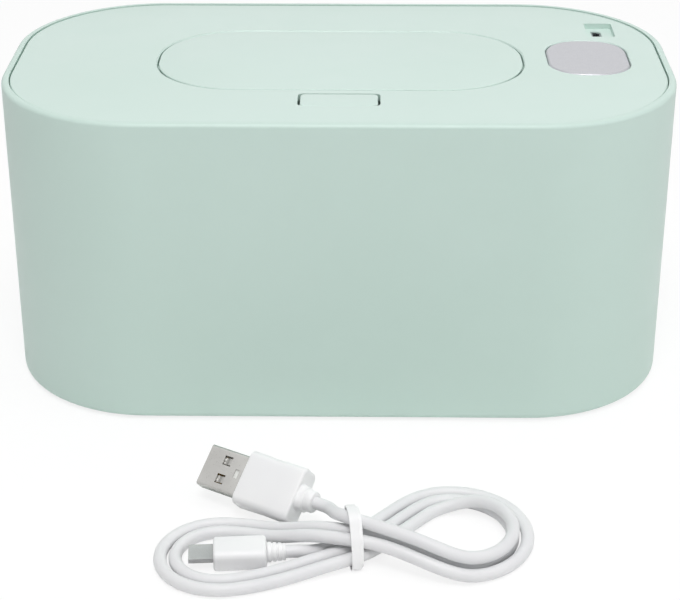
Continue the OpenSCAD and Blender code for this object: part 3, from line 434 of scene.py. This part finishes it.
def arc(cx, cy, r, a0, a1, steps):
    """Points of an arc from angle a0 to a1, in degrees."""
    return [(cx + r * math.cos(math.radians(a0 + (a1 - a0) * i / steps)),
             cy + r * math.sin(math.radians(a0 + (a1 - a0) * i / steps))) for i in range(steps + 1)]


def rising(x, start, length):
    """0 up to the start, 1 from the end of the length on, and even between them."""
    return min(1.0, max(0.0, (x - start) / length))


def b_spline(points, steps):
    """A smooth line near a list of points, from its first point to its last."""
    p = [Vector(q) for q in points]
    q = [2 * p[0] - p[1]] + p + [2 * p[-1] - p[-2]]
    out = []
    for i in range(1, len(p)):
        for t in (j / steps for j in range(steps)):
            out.append(((1 - t) ** 3 * q[i - 1] + (3 * t ** 3 - 6 * t * t + 4) * q[i]
                        + (-3 * t ** 3 + 3 * t * t + 3 * t + 1) * q[i + 1] + t ** 3 * q[i + 2]) / 6)
    return out + [p[-1]]


def round_curve(name, points, radius, slot, body, replaced=()):
    """A round tube along points in metres, as one open spline.

    The bevel is 1 m and the points carry the radius, because the box of a curve that isn't drawn yet is
    that of its points with their radius round them.
    """
    data = bpy.data.curves.new(name, "CURVE")
    data.dimensions = "3D"
    data.bevel_depth = 1.0
    data.bevel_resolution = 6
    data.use_fill_caps = True
    line = data.splines.new("POLY")
    line.points.add(len(points) - 1)
    for target, p in zip(line.points, points):
        target.co = (*p, 1)
        target.radius = radius
    line.use_smooth = True
    obj = bpy.data.objects.new(name, data)
    scene.collection.objects.link(obj)
    paint(obj, slot)
    dress(obj, body, replaced)
    return obj


# The USB lead. Its route is the one in the part's source: millimetres in the hank's own frame, whose origin
# is in the tie and whose X runs along the hank.

CABLE = "usb_cable"
TIE_AT, HANK_TURN = (5.3, -128.0), math.radians(10.3)
CORD_D = 3.5
# From one run to the next beside it, the height of a run on the floor, and those of the three rows in the tie
RUN_PITCH, LIE, ROWS = 4.2, 1.75, (3.1, 7.25, 11.4)
# Each loop's middle and its half axes
RIGHT_C, RIGHT_A, RIGHT_B = 28.5, 20.6, 21.3
LEFT_C, LEFT_A, LEFT_B = -34.5, 16.6, 16.0
LOOPS_Y, LOOP_STEPS = 4.5, 6
# Where the middle of the three runs below, and of the two above them, meets the loops
UNDER_R, UNDER_L = LOOPS_Y + RIGHT_B - RUN_PITCH, LOOPS_Y - LEFT_B + RUN_PITCH
OVER_L, OVER_R = LOOPS_Y + LEFT_B - RUN_PITCH / 2, LOOPS_Y - RIGHT_B + RUN_PITCH / 2
# Where the lead leaves each plug, and how the plug lies
PLUG_AT, PLUG_TURN, PLUG_ROLL = (-7.4, 15.7, 8.2), math.radians(-41.5), math.radians(42)
MICRO_AT, MICRO_TURN = (-17.5, 1.8, 3.0), math.radians(-6)
UNDER = [(RIGHT_C, UNDER_R, LIE), (22, 0.89 * UNDER_R, LIE), (14.5, 0.58 * UNDER_R, 1.9),
         (8, 0.28 * UNDER_R, 3), (2.5, 1.2, ROWS[0]), (-2.5, -0.7, ROWS[0]), (-10, 0.27 * UNDER_L, 2.4),
         (-18, 0.56 * UNDER_L, LIE), (-26, 0.85 * UNDER_L, LIE), (LEFT_C, UNDER_L, LIE)]
OVER = [(LEFT_C, OVER_L, LIE), (-26, 0.85 * OVER_L, 1.9), (-18, 0.53 * OVER_L, 3.3),
        (-10, 0.25 * OVER_L, 7.1), (-2.5, 1, ROWS[1]), (2.5, -0.8, ROWS[1]), (8, 0.24 * OVER_R, 7),
        (14, 0.52 * OVER_R, 6.2), (21.5, 0.86 * OVER_R, 4.2), (RIGHT_C, OVER_R, LIE)]
LEAD_IN = [PLUG_AT, (-6.1, 14.55, 8.2), (-4.8, 13.4, 8.2), (-4, 12, 8.4), (-3.6, 10, 8.9), (-3.5, 7.8, 9.8),
           (-3, 5.7, 10.7), (-1.8, 3.7, 11.2), (0.5, 1.6, ROWS[2]), (3.7, -0.9, ROWS[2]), (9, -4.6, 11.1),
           (15, -8.4, 10.3), (21.5, -12.2, 8.4), (RIGHT_C, OVER_R, 6)]
TOP_LOOP_Z = (5.6, 5.9, 6, 6, 4.2)
LEAD_OUT = [(-2.6, 3.7, 3.1), (-6.5, 2.5, 2.2), (-10.5, 2, 2), (-13.5, 1.38, 3), (-15.5, 1.59, 3), MICRO_AT]
ROUTE_STEPS, TIE_ROUTE_STEPS = 8, 6


def on_hank(u, v, z):
    """A point of the hank's own frame in the row frame, in metres."""
    c, s = math.cos(HANK_TURN), math.sin(HANK_TURN)
    return mm(TIE_AT[0] + u * c - v * s, TIE_AT[1] + u * s + v * c, z)


def beside(line, d):
    """A line moved across its way by d, to the left of the way to the right. Its ends move along Y."""
    out = []
    for i, p in enumerate(line):
        a, b = line[max(i - 1, 0)], line[min(i + 1, len(line) - 1)]
        t = (1.0, 0.0)
        if 0 < i < len(line) - 1:
            size = math.hypot(b[0] - a[0], b[1] - a[1]) * (1 if b[0] > a[0] else -1)
            t = ((b[0] - a[0]) / size, (b[1] - a[1]) / size)
        out.append((p[0] - t[1] * d, p[1] + t[0] * d, p[2]))
    return out


def half_loop(c, a, b, a0, a1):
    """The points inside a loop, from angle a0 to a1 in degrees."""
    return [(c + a * math.cos(t), LOOPS_Y + b * math.sin(t), LIE)
            for t in (math.radians(a0 + (a1 - a0) * i / LOOP_STEPS) for i in range(1, LOOP_STEPS))]


def top_loop():
    """The first loop, which lies on the others and moves in by a pitch and a half on its way round."""
    out = []
    for i, z in enumerate(TOP_LOOP_Z, 1):
        f, t = i / LOOP_STEPS, math.radians(-90 + 180 * i / LOOP_STEPS)
        k = RUN_PITCH * (0.5 + 1.5 * f * f * (3 - 2 * f))
        out.append((RIGHT_C + (RIGHT_A - k) * math.cos(t), LOOPS_Y + (RIGHT_B - k) * math.sin(t), z))
    return out


def hank_line():
    """The lead's points from the USB-A plug to the micro plug."""
    p = RUN_PITCH
    return (LEAD_IN + top_loop() + beside(UNDER, -p) + half_loop(LEFT_C, LEFT_A, LEFT_B, 270, 90)
            + beside(OVER, p / 2) + half_loop(RIGHT_C, RIGHT_A - p, RIGHT_B - p, -90, 90)
            + UNDER + half_loop(LEFT_C, LEFT_A - p, LEFT_B - p, 270, 90)
            + beside(OVER, -p / 2) + half_loop(RIGHT_C, RIGHT_A, RIGHT_B, -90, 90)
            + beside(UNDER, p)[:5] + LEAD_OUT)


route = [on_hank(*p) for p in b_spline(hank_line(), ROUTE_STEPS)]
cord = round_curve("usb_cord", route, CORD_D / 2 * MM, "lead_white", CABLE, ["cord_hank"])
# The lead's skin is painted greyer than the grips, which share its slot: painted shade on the thin cord
paint(cord, "cord_painted_shade")


# The lead's moulded pieces, in millimetres. A plug's X runs back along it, to where the lead leaves it.

GRIP_FRONT, GRIP_BACK = -22.5, -4.5
GRIP_W, GRIP_T, GRIP_R = 15.6, 8.0, 2.1
GRIP_CURL_FRONT, GRIP_CURL_BACK = 0.7, 0.8
# The grip's slight waist: how much it takes off, and where it takes which share of that
WAIST_W, WAIST_T = 0.3, 0.25
WAIST = ((-19, 0.3), (-14, 1), (-9, 0.3))
GRIP_NECK = [(GRIP_BACK, 7.4, 6.8, 2.3), (-4.2, 7.0, 6.4, 2.3), (-2.75, 6.9, 6.3, 2.5),
             (-2.5, 6.3, 5.9, 2.6), (-2.45, 6.3, 5.9, 2.9), (-2.35, 6.1, 6.1, 3.04), (-0.5, 6.0, 6.0, 2.99),
             (-0.15, 5.7, 5.7, 2.84), (0, 5.2, 5.2, 2.59)]
PLUG_W, PLUG_T, PLUG_L, SHEET = 12.0, 4.5, 13.0, 0.3
PLUG_FRONT = GRIP_FRONT - PLUG_L
# The carrier that fills the shell's back: its front from the shell's, its space, corner radius and rounding,
# and how far it goes into the grip
CARRIER_FROM, CARRIER_SPACE, CARRIER_R, CARRIER_CURL, CARRIER_IN = 9.6, 0.1, 0.45, 0.2, 0.3
# The leaves in the shell's windows: their place across, their line as (distance from the shell's front, depth
# under the sheet), and their section
WINDOW_Y = 2.7
LEAF = ((7.9, 0.0), (7.2, 0.12), (6.3, 0.5), (5.6, 0.62), (4.9, 0.4))
LEAF_SECTION = ((-0.95, 0.02), (0.95, 0.02), (0.95, 0.2), (-0.95, 0.2))

MICRO_FRONT, MICRO_BACK = -19, -5
MICRO_W, MICRO_T, MICRO_R = 9.6, 6.0, 1.8
MICRO_CURL_FRONT, MICRO_CURL_BACK = 0.7, 0.9
BOOT_START = [(MICRO_BACK, 6.6, 5.4, 2.5)]
BOOT_RINGS, BOOT_X, BOOT_PITCH, BOOT_D, BOOT_TAPER = 3, -4.4, 1.35, 5.3, 0.22
# One ring of the boot: (distance along, what comes off its diameter, corner radius)
BOOT_RING = ((-0.35, 0.5, 2.3), (-0.2, 0, 2.5), (0.55, 0.05, 2.5), (0.7, 0.55, 2.3))
BOOT_END = [(-0.3, 4.6, 4.6, 2.2), (0, 4.3, 4.3, 2.1)]


def plug_frame(at, turn, roll=0.0):
    """Makes the call that takes a point of a plug's own frame to the row frame."""
    cr, sr, ct, st = math.cos(roll), math.sin(roll), math.cos(turn), math.sin(turn)

    def place(x, y, z):
        y, z = y * cr - z * sr, y * sr + z * cr
        return on_hank(at[0] + x * ct - y * st, at[1] + x * st + y * ct, at[2] + z)
    return place


on_plug = plug_frame(PLUG_AT, PLUG_TURN, PLUG_ROLL)
on_micro = plug_frame(MICRO_AT, MICRO_TURN)


def usb_a_plug():
    """The rounded grip, the white carrier in the shell's back, and the leaves in the shell's windows."""
    body = rounded_end(GRIP_FRONT, GRIP_BACK, GRIP_W, GRIP_T, GRIP_R, GRIP_CURL_FRONT)
    waist = [(x, GRIP_W - WAIST_W * f, GRIP_T - WAIST_T * f, GRIP_R) for x, f in WAIST]
    back = rounded_end(GRIP_BACK, GRIP_FRONT, GRIP_W, GRIP_T, GRIP_R, GRIP_CURL_BACK)[::-1]
    lofted("usb_a_grip", body + waist + back + GRIP_NECK, on_plug, "lead_white", CABLE, ["usb_a_overmold"])
    w, t = PLUG_W - 2 * SHEET - CARRIER_SPACE, PLUG_T - 2 * SHEET - CARRIER_SPACE
    carrier = rounded_end(PLUG_FRONT + CARRIER_FROM, GRIP_FRONT, w, t, CARRIER_R, CARRIER_CURL)
    carrier.append((GRIP_FRONT + CARRIER_IN, w, t, CARRIER_R))
    lofted("usb_a_carrier", carrier, on_plug, "white_plastic", CABLE)
    inside = PLUG_T / 2 - SHEET
    for side, hand in ((-1, "left"), (1, "right")):
        for face, tag in ((1, "upper"), (-1, "lower")):
            rows = [[on_plug(PLUG_FRONT + x, side * WINDOW_Y + w, face * (inside - drop - t))
                     for w, t in LEAF_SECTION] for x, drop in LEAF]
            verts, faces = closed_rows(rows)
            piece("usb_a_leaf_%s_%s" % (tag, hand), verts, faces, "plug_steel", CABLE)


def micro_plug():
    """The micro plug's rounded grip and its ringed boot."""
    body = rounded_end(MICRO_FRONT, MICRO_BACK, MICRO_W, MICRO_T, MICRO_R, MICRO_CURL_FRONT)
    back = rounded_end(MICRO_BACK, MICRO_FRONT, MICRO_W, MICRO_T, MICRO_R, MICRO_CURL_BACK)[::-1]
    rings = []
    for i in range(BOOT_RINGS):
        x, d = BOOT_X + BOOT_PITCH * i, BOOT_D - BOOT_TAPER * i
        rings += [(x + along, d - less, d - less, r) for along, less, r in BOOT_RING]
    lofted("micro_grip", body + back + BOOT_START + rings + BOOT_END, on_micro, "lead_white", CABLE,
           ["micro_usb_overmold"])


# The tie: a soft strip at TIE_U along the hank, shifted to either side as it winds
TIE_U, TIE_STRIP, TIE_SHEET, TIE_SHIFT = 0.6, 2.5, 0.5, 0.6
TIE_TURNS, TIE_POINTS, TIE_ROUNDS = 2.1, 96, 3
# Its space from the strands, between its windings and from the floor
TIE_SPACE, WIND_SPACE, FLOOR_SPACE = 0.16, 0.05, 0.03
# Where it climbs on its own windings, as (start, length) in shares of its length, and how fast it shifts
FIRST_CLIMB, LAST_CLIMB, SHIFT_RATE = (0.44, 0.06), (0.92, 0.04), 1.05
# It starts in front of the strands' middle, low down
START_BEFORE, START_Z = 4, 1
STRIP_SECTION = ((-1, 0.12), (-0.93, 0), (0.93, 0), (1, 0.12), (1, 0.88), (0.93, 1), (-0.93, 1), (-1, 0.88))
# The part of the lead that the tie holds, and the part of its skin that the tie goes round
HELD_U, HELD_V = 2.6, (-11, 9)
SKIN_U, SKIN_V, SKIN_STEPS = 2.1, 6.9, 24


def hull(points):
    """The convex outline of points in a plane."""
    pts = sorted(set(points))

    def turns_left(a, b, c):
        return (b[0] - a[0]) * (c[1] - a[1]) - (b[1] - a[1]) * (c[0] - a[0]) > 0

    def half(seq):
        out = []
        for p in seq:
            while len(out) > 1 and not turns_left(out[-2], out[-1], p):
                out.pop()
            out.append(p)
        return out[:-1]
    return half(pts) + half(pts[::-1])


def even_loop(points, n):
    """A closed line again with n points evenly along it."""
    ring = [Vector(p) for p in points] + [Vector(points[0])]
    along = [0.0]
    for a, b in zip(ring, ring[1:]):
        along.append(along[-1] + (b - a).length)
    out, k = [], 0
    for i in range(n):
        at = along[-1] * i / n
        while along[k + 1] < at:
            k += 1
        out.append(ring[k].lerp(ring[k + 1], (at - along[k]) / (along[k + 1] - along[k])))
    return out


def strands_at_tie():
    """Points on the strands' skins where the tie goes round them, as (v, z) across the hank."""
    line = b_spline(hank_line(), TIE_ROUTE_STEPS)
    found = []
    for before, p, after in zip(line, line[1:], line[2:]):
        if abs(p[0] - TIE_U) < HELD_U and HELD_V[0] < p[1] < HELD_V[1]:
            ahead = (after - before).normalized()
            side = ahead.cross(Vector((0, 0, 1))).normalized()
            up = side.cross(ahead)
            for k in range(SKIN_STEPS):
                a = math.radians(360 * k / SKIN_STEPS)
                q = p + CORD_D / 2 * (math.cos(a) * side + math.sin(a) * up)
                if abs(q[0] - TIE_U) < SKIN_U and q[1] < SKIN_V:
                    found.append((round(q[1], 3), round(q[2], 3)))
    return found


def tie_band():
    """A soft strip wound twice round the strands, with its end on the outside."""
    n = TIE_POINTS
    loop = even_loop(hull(strands_at_tie()), n)
    for _ in range(TIE_ROUNDS):
        loop = [(loop[i - 1] + 2 * loop[i] + loop[(i + 1) % n]) / 4 for i in range(n)]
    centre = sum(loop, Vector((0, 0))) / n
    corner = Vector((centre[0] - START_BEFORE, START_Z))
    start = min(range(n), key=lambda i: (loop[i] - corner).length)
    count, step, rows = int(TIE_TURNS * n), TIE_SHEET + WIND_SPACE, []
    for i in range(count):
        a, b, p = loop[(start + i - 1) % n], loop[(start + i + 1) % n], loop[(start + i) % n]
        out = Vector((b[1] - a[1], a[0] - b[0])).normalized()
        share = i / (count - 1)
        rise = TIE_SPACE + step * rising(share, *FIRST_CLIMB) + step * rising(share, *LAST_CLIMB)
        u = TIE_U + TIE_SHIFT * math.cos(math.pi * min(1.0, share * SHIFT_RATE))
        ring = []
        for w, t in STRIP_SECTION:
            q = p + out * (rise + TIE_SHEET * t)
            ring.append(on_hank(u + TIE_STRIP / 2 * w, q[0], max(q[1], FLOOR_SPACE)))
        rows.append(ring)
    verts, faces = closed_rows(rows)
    piece("tie_strip", verts, faces, "lead_white", CABLE, ["cable_tie"])


usb_a_plug()
micro_plug()
tie_band()


# Seals, feet, foam, wires and springs, in millimetres

BODY_W, BODY_D, CORNER_R = 200.0, 112.6, 43.0
MOUTH_W, MOUTH_D, MOUTH_AT = 60.0, 14.0, (0.5, -0.2)
MOUTH_R = MOUTH_D / 2 - LEAST_FLAT
# Two of the seals have a flat top from one distance out to another, and a half-round lip below: its distance
# out, the height of its middle over the low edge, and its radius
COVER_TOP, COVER_LIP = (-2.95, -4.35), (-3.65, 0.62, 0.7)
LID_TOP, LID_LIP = (1.85, 4.35), (3.1, 1.0, 0.95)
LIP_STEPS = 8
# The mouth's rim over its flange, the roundings of both, and the flange's thickness
RIM_RISE, RIM_ROUND, FLANGE_ROUND, FLANGE_T = 0.6, 0.4, 0.3, 1.15
# A foot's radius, the hole at its axis, its steps, and its sole from the axis out, as (radius, height)
FOOT_R, FOOT_AXIS, FOOT_STEPS = 6.0, 0.01, 36
FOOT_SOLE = [(FOOT_AXIS, 0.1), (1.6, 0.1), (1.9, 0), (4.9, 0), (5.6, 0.06), (5.95, 0.28)]
SOFT_SEGMENTS, SOFT_ANGLE = 3, math.radians(50)
# The wires' radius, the run's place in its node's box, and its height over the base
WIRE_R, WIRE_LEFT, WIRE_Z, WIRE_STEPS = 0.55, 1.55, 1.95, 6
# The springs under the button and the one behind the bar: wire, turns and pitch
COIL_WIRE, COIL_TURNS = 0.45, 5
BAR_WIRE, BAR_PITCH, BAR_LEAST_TURNS = 0.4, 1.1, 2
SPRING_STEPS, SPRING_SIDES = 28, 10


def lip(out, rise, r, low):
    """The half-round lip of a seal, as points out and up."""
    return arc(out, low + rise, r, 180, 360, LIP_STEPS)


def seals():
    """The cover's seal, the silicone mouth and the lid's seal, from sections of points out and up."""
    low, high = (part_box("cover_gasket")[i][2] / MM for i in (0, 1))
    section = [(out, high) for out in COVER_TOP] + lip(*COVER_LIP, low)
    swept_ring("cover_seal", BODY_W, BODY_D, CORNER_R, section, "silicone", "cover", ["cover_gasket"])
    low, high = (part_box("dispenser_gate")[i][2] / MM for i in (0, 1))
    flange = high - RIM_RISE
    inside = [(0.35, low), (0.02, low + 0.35), (0.16, low + 2.6), (0.02, flange - 0.4)]
    rim = (arc(0.42, high - RIM_ROUND, RIM_ROUND, 180, 90, 4)
           + arc(2.95, high - RIM_ROUND, RIM_ROUND, 90, 0, 4))
    edge = [(3.5, flange), (5.4, flange)] + arc(5.5, flange - FLANGE_ROUND, FLANGE_ROUND, 90, 0, 3)
    below = [(5.8, flange - FLANGE_T), (2.78, flange - FLANGE_T), (2.78, low + 0.3), (2.5, low)]
    swept_ring("gate_collar", MOUTH_W, MOUTH_D, MOUTH_R, inside + rim + edge + below, "silicone", "cover",
               ["dispenser_gate"], MOUTH_AT)
    low, high = (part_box("lid_gasket")[i][2] / MM for i in (0, 1))
    section = [(LID_TOP[0], high)] + lip(*LID_LIP, low) + [(LID_TOP[1], high)]
    swept_ring("lid_seal", MOUTH_W, MOUTH_D, MOUTH_R, section, "silicone", "lid", ["lid_gasket"], MOUTH_AT)


def feet():
    """Four round pads with a shallow hollow below, as one piece."""
    low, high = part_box("rubber_feet")
    cx, cy, top = high[0] / MM - FOOT_R, high[1] / MM - FOOT_R, high[2] / MM
    turns = [math.radians(360 * k / FOOT_STEPS) for k in range(FOOT_STEPS)]
    verts, faces = [], []
    for sx in (-1, 1):
        for sy in (-1, 1):
            rows = [[mm(sx * cx + q * math.cos(a), sy * cy + q * math.sin(a), z) for a in turns]
                    for q, z in FOOT_SOLE + [(FOOT_R, top), (FOOT_AXIS, top)]]
            v, f = closed_rows(rows, caps=False)
            faces += [tuple(i + len(verts) for i in face) for face in f]
            verts += v
    piece("foot_pads", verts, faces, "foot_rubber", "tub", ["rubber_feet"])


def soft_copy(name, node, slot, body, width):
    """A foam piece in the shape of its CAD solid, with edges rounded over a width in millimetres."""
    obj = bpy.data.objects.new(name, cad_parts[node].data.copy())
    scene.collection.objects.link(obj)
    paint(obj, slot)
    weld = obj.modifiers.new("weld", "WELD")
    weld.merge_threshold = SEAM
    edge = obj.modifiers.new("soft_edge", "BEVEL")
    edge.width = width * MM
    edge.segments = SOFT_SEGMENTS
    edge.angle_limit = SOFT_ANGLE
    smoothed(obj)
    dress(obj, body, [node])


def wires():
    """The harness as a smooth cable along the cover's base, from the heater round to the board."""
    low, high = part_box("wiring_harness")
    x0, x1, y0 = low[0] / MM + WIRE_LEFT, high[0] / MM - WIRE_R, low[1] / MM + WIRE_R
    z0, top = low[2] / MM, high[2] / MM
    z = z0 + WIRE_Z
    line = [(x0, 0, z0 + 0.15), (x0, 0, z + 0.4), (x0 - 0.7, -3, z), (x0, -14, z), (x0, -25, z),
            (-46, y0 + 1, z), (-38, y0, z), (0, y0, z), (x1 - 23, y0, z), (x1 - 13, y0 + 8.5, z),
            (x1 - 2, y0 + 22.5, z), (x1, y0 + 27, z), (x1, y0 + 30, z + 0.4), (x1, y0 + 33, top - 1),
            (x1, y0 + 33, top)]
    round_curve("wire_run", [mm(*p) for p in b_spline(line, WIRE_STEPS)], WIRE_R * MM, "lead_red", "cover",
                ["wiring_harness"])


def spring_mesh(r, wire, length, turns, place):
    """A coil spring of round wire along the place's third direction, closed at both ends."""
    count = int((turns + 2) * SPRING_STEPS)
    rows = []
    for i in range(count + 1):
        at = i / SPRING_STEPS
        rise = rising(at, 1, turns)
        z = wire / 2 + 0.5 * wire * (min(at, 1) + max(0, at - turns - 1)) + rise * (length - 2 * wire)
        a = 2 * math.pi * at
        slope = (length - 2 * wire) / turns / (2 * math.pi * r) if 1 < at < turns + 1 else 0
        ahead = Vector((-math.sin(a), math.cos(a), slope)).normalized()
        out = Vector((math.cos(a), math.sin(a), 0))
        up = out.cross(ahead)
        centre = Vector((r * math.cos(a), r * math.sin(a), z))
        rows.append([place(*(centre + wire / 2 * (math.cos(t) * out + math.sin(t) * up)))
                     for t in (2 * math.pi * k / SPRING_SIDES for k in range(SPRING_SIDES))])
    return closed_rows(rows)


def springs():
    """The two springs under the button and the one behind the bar, each against its fixed end."""
    low, high = (Vector(p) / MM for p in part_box("button_springs"))
    r = (high[1] - low[1]) / 2 - COIL_WIRE / 2
    y, length = (low[1] + high[1]) / 2, high[2] - low[2]
    for side, x in (("left", low[0] + r + COIL_WIRE / 2), ("right", high[0] - r - COIL_WIRE / 2)):
        verts, faces = spring_mesh(r, COIL_WIRE, length, COIL_TURNS,
                                   lambda a, b, c: mm(x + a, y + b, low[2] + c))
        obj = piece("button_spring_" + side, verts, faces, "steel", "cover",
                    ["button_springs"] if side == "left" else [])
        tuple(mm(x, y, low[2]))
        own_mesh(obj)
    low, high = (Vector(p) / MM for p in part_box("latch_spring"))
    r = (high[0] - low[0]) / 2 - BAR_WIRE / 2
    x, z, length = (low[0] + high[0]) / 2, (low[2] + high[2]) / 2, high[1] - low[1]
    verts, faces = spring_mesh(r, BAR_WIRE, length, max(BAR_LEAST_TURNS, round(length / BAR_PITCH)),
                               lambda a, b, c: mm(x + a, low[1] + c, z + b))
    obj = piece("bar_spring", verts, faces, "steel", "cover", ["latch_spring"])
    tuple(mm(x, low[1], z))
    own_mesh(obj)


springs()
seals()
feet()
soft_copy("foam_sleeve", "insulation_sleeve", "foam", "tub", 0.6)
soft_copy("foam_floor", "floor_insulation", "foam", "tub", 0.8)
soft_copy("foam_over_heater", "heater_insulation", "foam", "cover", 0.4)
wires()


# Light and ground. Each lamp: name, place, what it points at, size, power.

WORLD_LIGHT = 0.3
LAMPS = [
    ("lamp_above", (0.1, 0.1, 1.5), (0, 0, 0), 1.8, 7.6),
    ("lamp_key", (0, -0.75, 1.5), (0, -0.05, 0.05), 0.6, 10.9),
    ("lamp_right", (1.5, -0.6, 0.7), (0, 0, 0.04), 1.0, 3.4),
]
FLOOR_Z, FLOOR_HALF, FLOOR_WHITE = -0.0001, 6.0, 0.98
# How much of what the camera sees of the floor is plain, and how bright that is
PLAIN_SHARE, PLAIN_STRENGTH = 0.8, 1.02


def world_and_lamps():
    """White surroundings that light the object weakly, though they look white, and three soft lamps."""
    world = bpy.data.worlds.new("studio")
    scene.world = world
    world.use_nodes = True
    n, link = world.node_tree.nodes, world.node_tree.links.new
    path = n.new("ShaderNodeLightPath")
    seen = path.outputs["Is Camera Ray"]
    for ray in ("Is Glossy Ray", "Is Transmission Ray"):
        either = n.new("ShaderNodeMath")
        either.operation = "MAXIMUM"
        link(seen, either.inputs[0])
        link(path.outputs[ray], either.inputs[1])
        seen = either.outputs[0]
    strength = n.new("ShaderNodeMapRange")
    strength.inputs["To Min"].default_value = WORLD_LIGHT
    strength.inputs["To Max"].default_value = 1.0
    link(seen, strength.inputs["Value"])
    link(strength.outputs["Result"], n["Background"].inputs["Strength"])
    n["Background"].inputs["Color"].default_value = (1, 1, 1, 1)
    for name, at, target, size, power in LAMPS:
        data = bpy.data.lights.new(name, "AREA")
        data.shape = "DISK"
        data.size = size
        data.energy = power
        lamp = bpy.data.objects.new(name, data)
        lamp.location = at
        lamp.rotation_mode = "QUATERNION"
        lamp.rotation_quaternion = (Vector(target) - Vector(at)).to_track_quat("-Z", "Y")
        scene.collection.objects.link(lamp)


def make_floor():
    """White ground: most of what the camera sees of it is plain white, and the rest takes shadows."""
    mesh = bpy.data.meshes.new("floor")
    s = FLOOR_HALF
    corners = [(-s, -s, FLOOR_Z), (s, -s, FLOOR_Z), (s, s, FLOOR_Z), (-s, s, FLOOR_Z)]
    mesh.from_pydata(corners, [], [(0, 1, 2, 3)])
    floor = bpy.data.objects.new("floor", mesh)
    scene.collection.objects.link(floor)
    mat = bpy.data.materials.new("floor")
    mat.use_nodes = True
    n, link = mat.node_tree.nodes, mat.node_tree.links.new
    n.clear()
    path = n.new("ShaderNodeLightPath")
    share = n.new("ShaderNodeMath")
    share.operation = "MULTIPLY"
    share.inputs[1].default_value = PLAIN_SHARE
    plain = n.new("ShaderNodeEmission")
    plain.inputs["Strength"].default_value = PLAIN_STRENGTH
    lit = n.new("ShaderNodeBsdfDiffuse")
    lit.inputs["Color"].default_value = (FLOOR_WHITE, FLOOR_WHITE, FLOOR_WHITE, 1)
    mix = n.new("ShaderNodeMixShader")
    end = n.new("ShaderNodeOutputMaterial")
    link(path.outputs["Is Camera Ray"], share.inputs[0])
    link(share.outputs[0], mix.inputs[0])
    link(lit.outputs[0], mix.inputs[1])
    link(plain.outputs[0], mix.inputs[2])
    link(mix.outputs[0], end.inputs["Surface"])
    mesh.materials.append(mat)


world_and_lamps()
make_floor()

scene.view_settings.view_transform = "Standard"
bpy.context.view_layer.update()
